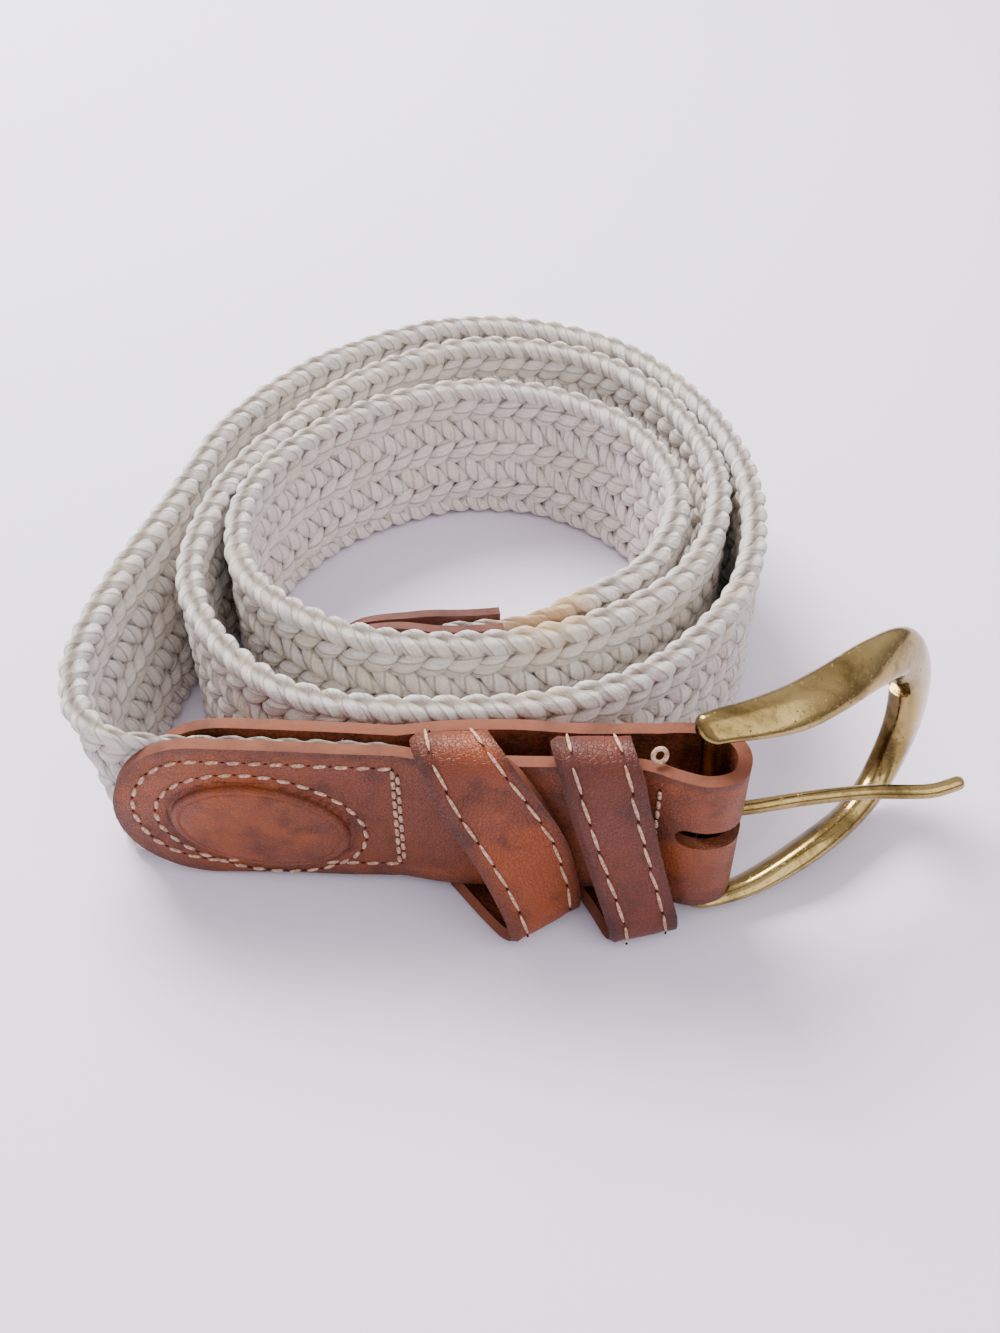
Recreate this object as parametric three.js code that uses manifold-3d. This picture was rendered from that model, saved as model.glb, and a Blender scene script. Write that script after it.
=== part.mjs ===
// Braided cotton belt with a leather buckle tab, coiled and standing on its edge.
// Millimetres, +Z up. The strap's lower edge stands on Z = 0 and the buckle tab faces -Y.
import * as THREE from 'three';
import { mergeVertices } from 'three/addons/utils/BufferGeometryUtils.js';
import Module from 'manifold-3d';

// Strap
const strapWidth = 35;
const strapThickness = 4.6;
const strapEndThickness = 1.7;
const braidRows = 7;
const rowRelief = 0.45;
const footWidth = 2.4;
const strapCoarseStep = 10;
const strapFineStep = 3.2;

// The coil's centre and its radius at each clock hour, twelve at the back, clockwise from above
const coilCentre = { x: -7, y: 213 };
const coilTurns = [
  { turn: 'outer', h9: 57.5, h10: 54.9, h11: 57.4, h12: 62.6, h1: 62.6, h2: 58.2,
    h3: 56.9, h4: 58.4, h5: 59.7, h6: 58.4, h7: 61.6, h8: 57.5 },
  { turn: 'middle', h9: 48.5, h10: 43.9, h11: 46.8, h12: 53.2, h1: 55.5, h2: 52.5,
    h3: 50.5, h4: 48.1, h5: 44.1, h6: 42.7, h7: 45.0, h8: 46.9 },
  { turn: 'inner', h9: 43.0, h10: 37.9, h11: 35.5, h12: 36.6, h1: 38.6, h2: 40.9,
    h3: 42.1, h4: 41.0, h5: 38.0, h6: 37.1, h7: 39.3, h8: 42.5 },
];
const hourOrder = ['h9', 'h10', 'h11', 'h12', 'h1', 'h2', 'h3', 'h4', 'h5', 'h6', 'h7', 'h8'];
const firstHour = 9;

// The strap's run from its end inside the buckle tab round the left bend to the coil
const strapLead = [
  { place: 'end in tab', x: -16, y: 145.9 },
  { place: 'badge', x: -40, y: 147.5 },
  { place: 'tab mouth', x: -57, y: 148.3 },
  { place: 'tongue end', x: -66, y: 149.3 },
  { place: 'bend start', x: -72.2, y: 153.8 },
  { place: 'bend', x: -75.2, y: 163 },
  { place: 'bend end', x: -75, y: 174 },
  { place: 'side', x: -72, y: 190 },
];
const strapSqueezeLength = 16;
const strapSqueezeStart = 41;
const strapEndInset = 0.8;

// Tip leaves on the coil's inner end, placed by clock hour on the inner turn
const tipStartHour = 5.62;
const strapEndHour = 6.15;
const tipEndHour = 7.32;
const tipWidth = 31.4;
const tipLeather = 1.8;
const tipTongue = 21;
const tipLead = 3;
const tipClosing = 9;

// Buckle tab
const tabLeather = 2.3;
const leafGap = 0.34;
const tabLeft = -66;
const tabFoldX = 39.9;
const tabTongue = 16;
const backLeafLeft = -61.5;
const tabEdges = [
  { place: 'tongue end', x: -66, lower: 0.3, upper: 34.2 },
  { place: 'strap end', x: -17, lower: 2.4, upper: 34.7 },
  { place: 'fold', x: 39.9, lower: 5.7, upper: 37.3 },
];
const slotLeft = 28.6;
const slotHeight = 4.2;
const frontLeaf = [
  { place: 'keepers left', x: -9, y: 141.9 },
  { place: 'keepers', x: 2, y: 140.8 },
  { place: 'keepers right', x: 14, y: 140.1 },
  { place: 'tunnel seam', x: 23, y: 139.2 },
  { place: 'tunnel swell', x: 28, y: 136.9 },
  { place: 'tunnel front', x: 33, y: 135.3 },
  { place: 'fold front', x: 37.4, y: 136.5 },
];
const backLeaf = [
  { place: 'fold back', x: 37.6, y: 144.0 },
  { place: 'tunnel back', x: 33, y: 146.4 },
  { place: 'tunnel seam', x: 23, y: 147.0 },
  { place: 'keepers right', x: 14, y: 147.3 },
  { place: 'keepers', x: 2, y: 148.7 },
  { place: 'keepers left', x: -9, y: 148.9 },
];
const foldEnd = { x: 38.9, y: 140.4 };

// Oval badge
const badgeLength = 31;
const badgeHeight = 20.5;
const badgeRaise = 1.3;
const badgeX = -41;
const badgeZ = 15;
const badgeTurn = 9;

// Keeper loops as two rails each, the band's left and right edges, all at mid leather
const keeperLeather = 1.9;
const keeperSteps = 44;
const keepers = [
  {
    name: 'keeper_loop_left',
    rails: [
      { place: 'top back', left: [-13.7, 144.9, 36.4], right: [-2.0, 145.3, 36.6] },
      { place: 'top', left: [-13.9, 142.8, 37.6], right: [-1.6, 143.4, 38.1] },
      { place: 'top front', left: [-13.2, 140.6, 36.9], right: [0.4, 140.4, 38.2] },
      { place: 'over edge', left: [-12.2, 139.3, 35.3], right: [2.4, 138.5, 36.9] },
      { place: 'front high', left: [-9.4, 137.4, 29.5], right: [6.4, 137.5, 30.5] },
      { place: 'front middle', left: [-3.9, 134.9, 19.0], right: [10.8, 137.6, 20.0] },
      { place: 'front low', left: [0.9, 131.4, 7.5], right: [13.1, 137.5, 8.5] },
      { place: 'bottom front', left: [2.4, 129.9, 1.5], right: [13.4, 137.2, 1.6] },
      { place: 'bottom', left: [-2.6, 135.4, 1.0], right: [9.6, 140.4, 1.05] },
      { place: 'bottom back', left: [-8.6, 142.8, 1.0], right: [4.4, 142.2, 1.1] },
      { place: 'turn up', left: [-9.9, 145.0, 2.8], right: [2.9, 144.2, 3.0] },
      { place: 'back middle', left: [-11.9, 145.5, 20], right: [0.4, 144.8, 21] },
      { place: 'back high', left: [-13.4, 145.4, 33.0], right: [-1.6, 145.2, 33.5] },
    ],
  },
  {
    name: 'keeper_loop_right',
    rails: [
      { place: 'top back', left: [8.6, 143.6, 37.0], right: [20.9, 143.1, 37.6] },
      { place: 'top', left: [8.6, 141.2, 38.4], right: [20.9, 141.0, 39.0] },
      { place: 'top front', left: [9.2, 138.9, 38.1], right: [21.6, 138.4, 38.7] },
      { place: 'over edge', left: [9.8, 137.7, 36.0], right: [22.6, 136.5, 36.5] },
      { place: 'front high', left: [11.6, 136.0, 30.0], right: [24.0, 134.9, 30.5] },
      { place: 'front middle', left: [15.2, 133.4, 18.0], right: [26.9, 133.4, 18.5] },
      { place: 'front low', left: [18.3, 130.6, 6.5], right: [29.6, 132.4, 7.0] },
      { place: 'bottom front', left: [19.2, 129.6, 1.5], right: [30.2, 132.3, 1.6] },
      { place: 'bottom', left: [16.8, 135.2, 1.0], right: [27.6, 137.2, 1.05] },
      { place: 'bottom back', left: [13.2, 141.6, 1.0], right: [24.4, 141.4, 1.1] },
      { place: 'turn up', left: [11.9, 143.6, 3.0], right: [23.6, 143.2, 3.2] },
      { place: 'back middle', left: [9.9, 144.2, 20], right: [22.3, 143.4, 21] },
      { place: 'back high', left: [8.8, 144.0, 34.5], right: [21.1, 143.4, 35] },
    ],
  },
];

// Buckle frame, in its own plane: out from the bar, half its height, and the section there
const barCentre = { x: 34.4, y: 140.6, z: 22.8 };
const barLeanLeft = 3;
const barLeanBack = 5.4;
const frameAzimuth = 32;
const barRadius = 1.8;
const barHalfLength = 19.9;
const frameHalf = [
  { place: 'limb end', out: -3.2, half: 20.3, front: 0.6, width: 3.8, depth: 4.4, cut: 0.2 },
  { place: 'bar', out: 0, half: 20.4, front: 1.6, width: 4.1, depth: 5.2, cut: 0.5 },
  { place: 'limb', out: 7, half: 19.8, front: 3.4, width: 5.2, depth: 6.2, cut: 1 },
  { place: 'broad limb', out: 14, half: 19.0, front: 4.0, width: 6.5, depth: 6.7, cut: 1 },
  { place: 'wide part', out: 22, half: 18.7, front: 3.6, width: 7.1, depth: 6.7, cut: 1 },
  { place: 'shoulder', out: 32, half: 18.1, front: 2.3, width: 7.9, depth: 6.2, cut: 0.8 },
  { place: 'bow side', out: 40.7, half: 15.0, front: 0.6, width: 8.6, depth: 5.6, cut: 0.2 },
  { place: 'bow', out: 45.6, half: 7.6, front: -0.2, width: 8.9, depth: 5.2, cut: 0 },
];
const bowTip = { place: 'bow tip', out: 46.9, half: 0, front: -0.4, width: 9.0, depth: 5.2, cut: 0 };
const frameSteps = 52;

// Prong, in the plane that swings about the bar: out from the bar and sideways towards the front
const prongRadius = 1.25;
const prongEyeClearance = 0.35;
const prongAzimuth = 6.3;
const prongLine = [
  { place: 'eye', out: 4.2, side: 0 },
  { place: 'slot', out: 7.6, side: 0 },
  { place: 'middle', out: 16.2, side: -0.5 },
  { place: 'far', out: 27.2, side: -0.3 },
  { place: 'rest', out: 37.7, side: 1.1 },
  { place: 'tip', out: 42.6, side: 0.1 },
];
const prongSides = 12;

const cottonMaterial = new THREE.MeshStandardMaterial({ color: 0xe9e4db, roughness: 0.95 });
const leatherMaterial = new THREE.MeshStandardMaterial({ color: 0xa9623a, roughness: 0.55 });
const tipMaterial = new THREE.MeshStandardMaterial({ color: 0xa86a55, roughness: 0.6 });
const brassMaterial = new THREE.MeshStandardMaterial({ color: 0x9c8446, roughness: 0.35, metalness: 1 });

const up = new THREE.Vector3(0, 0, 1);

// Skin through rings of equal point count, either closed on itself or capped at both ends
function skin(rings, closed) {
  const count = rings[0].length;
  const positions = [];
  for (const ring of rings) {
    for (const point of ring) positions.push(point.x, point.y, point.z);
  }
  const indices = [];
  const spans = closed ? rings.length : rings.length - 1;
  for (let i = 0; i < spans; i += 1) {
    const here = i * count;
    const next = ((i + 1) % rings.length) * count;
    for (let j = 0; j < count; j += 1) {
      const k = (j + 1) % count;
      indices.push(here + j, here + k, next + k);
      indices.push(here + j, next + k, next + j);
    }
  }
  if (!closed) {
    addCap(positions, indices, rings[0], 0, true);
    addCap(positions, indices, rings[rings.length - 1], (rings.length - 1) * count, false);
  }
  const geometry = new THREE.BufferGeometry();
  geometry.setAttribute('position', new THREE.Float32BufferAttribute(positions, 3));
  geometry.setIndex(indices);
  return outward(geometry);
}

function addCap(positions, indices, ring, start, reversed) {
  const middle = ring.reduce((sum, point) => sum.add(point), new THREE.Vector3());
  middle.divideScalar(ring.length);
  const centre = positions.length / 3;
  positions.push(middle.x, middle.y, middle.z);
  for (let j = 0; j < ring.length; j += 1) {
    const k = (j + 1) % ring.length;
    if (reversed) indices.push(centre, start + k, start + j);
    else indices.push(centre, start + j, start + k);
  }
}

// Turn every face round if the closed surface encloses a negative volume
function outward(geometry) {
  const position = geometry.getAttribute('position');
  const index = geometry.getIndex();
  const corners = [new THREE.Vector3(), new THREE.Vector3(), new THREE.Vector3()];
  let volume = 0;
  for (let i = 0; i < index.count; i += 3) {
    corners.forEach((corner, c) => corner.fromBufferAttribute(position, index.getX(i + c)));
    volume += corners[0].dot(corners[1].clone().cross(corners[2])) / 6;
  }
  if (volume > 0) return geometry;
  const turned = [];
  for (let i = 0; i < index.count; i += 3) {
    turned.push(index.getX(i), index.getX(i + 2), index.getX(i + 1));
  }
  geometry.setIndex(turned);
  return geometry;
}

// Linear reading of a table's column at a given key value
function readTable(rows, keyColumn, key, column) {
  const last = rows.length - 1;
  if (key <= rows[0][keyColumn]) return rows[0][column];
  for (let i = 0; i < last; i += 1) {
    const from = rows[i];
    const to = rows[i + 1];
    if (key <= to[keyColumn]) {
      const share = (key - from[keyColumn]) / (to[keyColumn] - from[keyColumn]);
      return from[column] + (to[column] - from[column]) * share;
    }
  }
  return rows[last][column];
}

// The point of the coil at a clock hour counted on from the outer turn's nine o'clock
function coilPoint(hoursOn) {
  const radii = coilTurns.flatMap((turn) => hourOrder.map((hour) => turn[hour]));
  const low = Math.min(Math.floor(hoursOn), radii.length - 2);
  const radius = radii[low] + (radii[low + 1] - radii[low]) * (hoursOn - low);
  const angle = THREE.MathUtils.degToRad(90 - 30 * (firstHour + hoursOn));
  return new THREE.Vector3(
    coilCentre.x + radius * Math.cos(angle),
    coilCentre.y + radius * Math.sin(angle),
    0,
  );
}

// Hours on from the outer nine o'clock of an hour on the inner turn
const innerHour = (hour) => 24 + ((hour - firstHour + 12) % 12);

function strapRoute() {
  const points = strapLead.map(({ x, y }) => new THREE.Vector3(x, y, 0));
  for (let hour = 0; hour <= innerHour(8); hour += 1) points.push(coilPoint(hour));
  const curve = new THREE.CatmullRomCurve3(points, false, 'centripetal');
  curve.arcLengthDivisions = 4000;
  return curve;
}

const route = strapRoute();
const routeLength = route.getLength();

// Distance along the route of an hour on the inner turn
function routeDistance(hour) {
  const wanted = coilPoint(innerHour(hour));
  let best = routeLength;
  let nearest = Infinity;
  for (let s = routeLength * 0.7; s < routeLength; s += 0.25) {
    const gap = route.getPointAt(s / routeLength).distanceTo(wanted);
    if (gap < nearest) {
      nearest = gap;
      best = s;
    }
  }
  return best;
}

const strapLength = routeDistance(strapEndHour);
const tipStart = routeDistance(tipStartHour);
const tipEnd = routeDistance(tipEndHour);

// The tab's lower and upper edges, which rise towards the fold
const tabLower = (x) => readTable(tabEdges, 'x', x, 'lower');
const tabUpper = (x) => readTable(tabEdges, 'x', x, 'upper');

// Strap thickness along the route: pressed thin inside the tab and inside the tip
function strapThicknessAt(s) {
  const fromTab = THREE.MathUtils.smoothstep(s, strapSqueezeStart, strapSqueezeStart + strapSqueezeLength);
  const fromTip = THREE.MathUtils.smoothstep(tipStart - tipLead - s, 0, strapSqueezeLength);
  const share = Math.min(fromTab, fromTip);
  return strapEndThickness + (strapThickness - strapEndThickness) * share;
}

// One section of the strap: seven braid rows on each face, rounded edges and a flat foot
function strapSection(s) {
  const centre = route.getPointAt(s / routeLength);
  const along = route.getTangentAt(s / routeLength);
  const across = new THREE.Vector3().crossVectors(up, along).normalize();
  const half = strapThicknessAt(s) / 2;
  const relief = rowRelief * half / (strapThickness / 2);
  const inTab = 1 - THREE.MathUtils.smoothstep(s, strapSqueezeStart, strapSqueezeStart + strapSqueezeLength);
  const inTip = THREE.MathUtils.smoothstep(s, tipStart - strapSqueezeLength, tipStart - tipLead);
  const bottom = (tabLower(centre.x) + strapEndInset) * inTab + inTip;
  const top = strapWidth - inTip * 2 + (tabUpper(centre.x) - strapWidth - strapEndInset) * inTab;
  const face = [];
  const rowHeight = (top - bottom) / braidRows;
  for (let row = 0; row < braidRows; row += 1) {
    face.push([half, bottom + rowHeight * (row + 0.5)]);
    if (row < braidRows - 1) face.push([half - relief, bottom + rowHeight * (row + 1)]);
  }
  const foot = Math.min(footWidth / 2, half * 0.8);
  const outline = [[foot, bottom], ...face, [0, top]];
  for (const [depth, height] of [...face].reverse()) outline.push([-depth, height]);
  outline.push([-foot, bottom]);
  return outline.map(([depth, height]) => centre.clone().addScaledVector(across, depth).setZ(height));
}

// Stations closer together where the route bends tightly
function strapStations() {
  const stations = [0];
  let s = 0;
  while (s < strapLength) {
    const here = route.getTangentAt(s / routeLength);
    const ahead = route.getTangentAt(Math.min(1, (s + strapFineStep) / routeLength));
    const bend = here.angleTo(ahead) / strapFineStep;
    const inLeather = s < strapSqueezeStart + strapSqueezeLength || s > tipStart - strapSqueezeLength;
    const coarsest = inLeather ? strapFineStep : strapCoarseStep;
    s += THREE.MathUtils.clamp(0.2 / (bend + 1e-4), strapFineStep, coarsest);
    if (s < strapLength - strapFineStep / 2) stations.push(s);
  }
  stations.push(strapLength);
  return stations;
}

function braidedStrap() {
  return skin(strapStations().map(strapSection), false);
}

// Height share of a rounded tongue at a distance from its end
function tongueShare(distance, tongueLength) {
  if (distance >= tongueLength) return 1;
  const reach = (tongueLength - distance) / tongueLength;
  return Math.sqrt(Math.max(0, 1 - reach * reach));
}

// Distances from a tongue's end, close together where its outline turns
function tongueStations(tongueLength) {
  const stations = [];
  for (let i = 1; i <= 7; i += 1) stations.push(tongueLength * (1 - Math.cos((Math.PI / 14) * i)));
  return stations;
}

// A leather slab along a plan line: a four-cornered section at each station
function slab(stations) {
  const rings = stations.map(({ point, across, half, bottom, top }) => [
    point.clone().addScaledVector(across, half).setZ(bottom),
    point.clone().addScaledVector(across, half).setZ(top),
    point.clone().addScaledVector(across, -half).setZ(top),
    point.clone().addScaledVector(across, -half).setZ(bottom),
  ]);
  return skin(rings, false);
}

// One leaf of the tip, on the outer (+1) or inner (-1) face of the strap's end
function tipLeaf(side) {
  const distances = tongueStations(tipTongue).map((d) => tipEnd - d).reverse();
  for (let s = distances[0] - 4; s > tipStart + 2; s -= 4) distances.unshift(s);
  distances.unshift(tipStart);
  const stations = distances.map((s) => {
    const centre = route.getPointAt(s / routeLength);
    const across = new THREE.Vector3().crossVectors(up, route.getTangentAt(s / routeLength));
    const closing = THREE.MathUtils.smoothstep(s, strapLength + 0.5, strapLength + tipClosing);
    const offset = side * (strapEndThickness / 2 * (1 - closing) + leafGap + tipLeather / 2);
    const half = (tipWidth / 2) * Math.max(0.08, tongueShare(tipEnd - s, tipTongue));
    const middle = strapWidth / 2;
    return {
      point: centre.addScaledVector(across, offset),
      across,
      half: tipLeather / 2,
      bottom: middle - half,
      top: middle + half,
    };
  });
  return slab(stations);
}

// The strap's centre line inside the tab, where the two leaves lie against it
const leafOffset = strapEndThickness / 2 + leafGap + tabLeather / 2;
const strapLine = (x) => readTable([...strapLead].slice(0, 4).reverse(), 'x', x, 'y');

// The folded strip's line seen from above: front leaf, fold round the bar, back leaf
function tabLine() {
  const stitched = [-17, -26, -34, -42, -50, -58];
  const points = [];
  for (const x of [tabLeft, ...[...stitched].reverse()]) {
    points.push(new THREE.Vector3(x, strapLine(x) - leafOffset - mouthSpread(x), 0));
  }
  for (const { x, y } of frontLeaf) points.push(new THREE.Vector3(x, y, 0));
  points.push(new THREE.Vector3(foldEnd.x, foldEnd.y, 0));
  for (const { x, y } of backLeaf) points.push(new THREE.Vector3(x, y, 0));
  for (const x of [...stitched, backLeafLeft]) {
    points.push(new THREE.Vector3(x, strapLine(x) + leafOffset + mouthSpread(x), 0));
  }
  const curve = new THREE.CatmullRomCurve3(points, false, 'centripetal');
  curve.arcLengthDivisions = 2000;
  return curve;
}

// Extra room at the tab's mouth, where the strap swells to its full thickness
function mouthSpread(x) {
  const s = -14.5 - x;
  return Math.max(0, strapThicknessAt(s) - strapEndThickness) / 2;
}

const tabCurve = tabLine();
const tabLength = tabCurve.getLength();

function tabStations() {
  const tongue = tongueStations(tabTongue);
  const stations = [...tongue];
  for (let s = tabTongue + 5; s < tabLength - tabTongue - 2; ) {
    stations.push(s);
    const x = tabCurve.getPointAt(s / tabLength).x;
    s += x > 20 ? 1.6 : 5;
  }
  for (const d of [...tongue].reverse()) stations.push(tabLength - d);
  return stations;
}

async function solidTools() {
  const wasm = await Module();
  wasm.setup();
  return wasm;
}

function toManifold(wasm, geometry) {
  const bare = geometry.clone();
  bare.deleteAttribute('normal');
  bare.deleteAttribute('uv');
  const merged = mergeVertices(bare, 1e-4);
  return new wasm.Manifold(new wasm.Mesh({
    numProp: 3,
    vertProperties: new Float32Array(merged.getAttribute('position').array),
    triVerts: new Uint32Array(merged.getIndex().array),
  }));
}

function fromManifold(solid) {
  const mesh = solid.getMesh();
  const geometry = new THREE.BufferGeometry();
  geometry.setAttribute('position', new THREE.Float32BufferAttribute(mesh.vertProperties, 3));
  geometry.setIndex(Array.from(mesh.triVerts));
  return geometry;
}

// The folded strip with the prong's slot cut through the fold
function buckleTab(wasm) {
  const stations = tabStations().map((s) => {
    const point = tabCurve.getPointAt(s / tabLength);
    const across = new THREE.Vector3().crossVectors(up, tabCurve.getTangentAt(s / tabLength));
    const share = Math.max(0.08, tongueShare(Math.min(s, tabLength - s), tabTongue));
    const middle = (tabLower(point.x) + tabUpper(point.x)) / 2;
    const half = ((tabUpper(point.x) - tabLower(point.x)) / 2) * share;
    return { point, across, half: tabLeather / 2, bottom: middle - half, top: middle + half };
  });
  const strip = slab(stations);
  const slotLength = tabFoldX - slotLeft + 4;
  const round = new THREE.CylinderGeometry(slotHeight / 2, slotHeight / 2, 20, 12);
  round.translate(slotLeft + slotHeight / 2, foldEnd.y, 0);
  const run = new THREE.BoxGeometry(slotLength, 20, slotHeight);
  run.translate(slotLeft + slotHeight / 2 + slotLength / 2, foldEnd.y, 0);
  const slot = toManifold(wasm, round).add(toManifold(wasm, run)).translate([0, 0, barCentre.z + 0.4]);
  return fromManifold(toManifold(wasm, strip).subtract(slot));
}

// A low dome with a rolled edge on the front leaf
function ovalBadge() {
  const profile = [
    [0, 0], [0.97, 0], [1, 0.35], [0.97, 0.75], [0.88, 0.95], [0.6, 1.2], [0.3, 1.3], [0, 1.3],
  ].map(([radius, raise]) => new THREE.Vector2(radius, (raise / 1.3) * badgeRaise));
  const dome = new THREE.LatheGeometry(profile, 30);
  dome.scale(badgeLength / 2, 1, badgeHeight / 2);
  dome.rotateX(Math.PI);
  const ends = [badgeX - 8, badgeX + 8].map((x) => strapLine(x) - leafOffset);
  dome.rotateZ(Math.atan2(ends[1] - ends[0], 16));
  dome.rotateY(THREE.MathUtils.degToRad(badgeTurn));
  const middle = (ends[0] + ends[1]) / 2;
  dome.translate(badgeX, middle - tabLeather / 2 - leafGap, badgeZ);
  dome.deleteAttribute('normal');
  dome.deleteAttribute('uv');
  return outward(mergeVertices(dome, 1e-4));
}

function keeperLoop(rows) {
  const rail = (side) => new THREE.CatmullRomCurve3(
    rows.map((row) => new THREE.Vector3(...row[side])), true, 'centripetal',
  );
  const left = rail('left');
  const right = rail('right');
  const rings = [];
  for (let i = 0; i < keeperSteps; i += 1) {
    const t = i / keeperSteps;
    const edges = [left.getPoint(t), right.getPoint(t)];
    const ruling = edges[1].clone().sub(edges[0]);
    const normals = [left, right].map((curve) => curve.getTangent(t).cross(ruling).normalize());
    const half = keeperLeather / 2;
    rings.push([
      edges[0].clone().addScaledVector(normals[0], half),
      edges[1].clone().addScaledVector(normals[1], half),
      edges[1].clone().addScaledVector(normals[1], -half),
      edges[0].clone().addScaledVector(normals[0], -half),
    ]);
  }
  for (const ring of rings) ring.forEach((point) => point.setZ(Math.max(0, point.z)));
  return skin(rings, true);
}

// Axes of a plane that holds the leaning bar: along the bar, out from it and square to both
function barAxes(azimuth) {
  const leanLeft = Math.tan(THREE.MathUtils.degToRad(barLeanLeft));
  const leanBack = Math.tan(THREE.MathUtils.degToRad(barLeanBack));
  const turn = THREE.MathUtils.degToRad(azimuth);
  const along = new THREE.Vector3(-leanLeft, leanBack, 1).normalize();
  const level = new THREE.Vector3(Math.cos(turn), Math.sin(turn), 0);
  const out = level.addScaledVector(along, -level.dot(along)).normalize();
  const front = new THREE.Vector3().crossVectors(out, along);
  return { along, out, front };
}

function barPoint(axes, out, along, front) {
  return new THREE.Vector3(barCentre.x, barCentre.y, barCentre.z)
    .addScaledVector(axes.out, out)
    .addScaledVector(axes.along, along)
    .addScaledVector(axes.front, front);
}

// Flat back, ridge near the inner edge and a long slope down to the outer edge
// The limbs have their inner back corner cut away
function frameSection(width, depth, cut) {
  return [
    [-0.5 + 0.06 * cut, -0.30 + 0.24 * cut], [-0.38 + 0.4 * cut, -0.5], [0.36, -0.5], [0.5, -0.34],
    [0.5, -0.12], [0.36, 0.12], [-0.12, 0.5], [-0.3, 0.5], [-0.5, 0.22],
  ].map(([out, front]) => [out * width, front * depth]);
}

function buckleFrame(wasm) {
  const axes = barAxes(frameAzimuth);
  const rows = [...frameHalf, bowTip];
  for (const row of [...frameHalf].reverse()) rows.push({ ...row, half: -row.half });
  const line = new THREE.CatmullRomCurve3(
    rows.map(({ out, half, front }) => new THREE.Vector3(out, half, front)), false, 'centripetal',
  );
  const sizes = new THREE.CatmullRomCurve3(
    rows.map(({ width, depth, cut }) => new THREE.Vector3(width, depth, cut)), false, 'centripetal',
  );
  const rings = [];
  for (let i = 0; i <= frameSteps; i += 1) {
    const t = i / frameSteps;
    const centre = line.getPoint(t);
    const tangent = line.getTangent(t).setZ(0).normalize();
    const size = sizes.getPoint(t);
    const taper = Math.min(1, 0.55 + Math.min(i, frameSteps - i) * 0.2);
    rings.push(frameSection(size.x * taper, size.y * taper, size.z).map(([side, front]) => {
      const out = centre.x - tangent.y * side;
      const along = centre.y + tangent.x * side;
      return barPoint(axes, out, along, centre.z + front);
    }));
  }
  const bow = toManifold(wasm, skin(rings, false));
  const bar = new THREE.CylinderGeometry(barRadius, barRadius, barHalfLength * 2, 16);
  bar.rotateX(Math.PI / 2);
  bar.applyMatrix4(new THREE.Matrix4().makeBasis(
    axes.out, axes.front.clone().negate(), axes.along,
  ));
  bar.translate(barCentre.x, barCentre.y, barCentre.z);
  return fromManifold(bow.add(toManifold(wasm, bar)));
}

// Wire with an eye round the bar, running out through the slot to an upturned tip
function buckleProng(wasm) {
  const axes = barAxes(prongAzimuth);
  const eyeRadius = barRadius + prongEyeClearance + prongRadius;
  const eye = new THREE.TorusGeometry(eyeRadius, prongRadius, prongSides, 22);
  eye.applyMatrix4(new THREE.Matrix4().makeBasis(
    axes.out, axes.front.clone().negate(), axes.along,
  ));
  eye.translate(barCentre.x, barCentre.y, barCentre.z);
  const line = new THREE.CatmullRomCurve3(
    prongLine.map(({ out, side }) => new THREE.Vector3(out, side, 0)), false, 'centripetal',
  );
  const rings = [];
  const steps = 20;
  for (let i = 0; i <= steps + 2; i += 1) {
    const t = Math.min(i, steps) / steps;
    const centre = line.getPoint(t);
    const tangent = line.getTangent(t);
    const pastEnd = Math.max(0, i - steps) / 3;
    const radius = prongRadius * Math.sqrt(1 - pastEnd * pastEnd);
    centre.addScaledVector(tangent, pastEnd * prongRadius);
    const ring = [];
    for (let j = 0; j < prongSides; j += 1) {
      const angle = (2 * Math.PI * j) / prongSides;
      const side = radius * Math.cos(angle);
      ring.push(barPoint(
        axes, centre.x - tangent.y * side, radius * Math.sin(angle), centre.y + tangent.x * side,
      ));
    }
    rings.push(ring);
  }
  return fromManifold(toManifold(wasm, eye).add(toManifold(wasm, skin(rings, false))));
}

const wasm = await solidTools();
const belt = new THREE.Group();

function addPiece(name, geometry, material) {
  geometry.computeVertexNormals();
  const piece = new THREE.Mesh(geometry, material);
  piece.name = name;
  belt.add(piece);
}

addPiece('braided_strap', braidedStrap(), cottonMaterial);
addPiece('buckle_tab', buckleTab(wasm), leatherMaterial);
addPiece('oval_badge', ovalBadge(), leatherMaterial);
for (const { name, rails } of keepers) addPiece(name, keeperLoop(rails), leatherMaterial);
addPiece('buckle_frame', buckleFrame(wasm), brassMaterial);
addPiece('buckle_prong', buckleProng(wasm), brassMaterial);
addPiece('tip_leaf_outer', tipLeaf(1), tipMaterial);
addPiece('tip_leaf_inner', tipLeaf(-1), tipMaterial);

// The origin is the middle of the belt's footprint, on the surface that it stands on
const box = new THREE.Box3().setFromObject(belt);
belt.position.set(-(box.min.x + box.max.x) / 2, -(box.min.y + box.max.y) / 2, 0);

export default belt;
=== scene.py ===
import bpy
import math
import random
from bisect import bisect_right
from mathutils import Matrix, Vector


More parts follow.
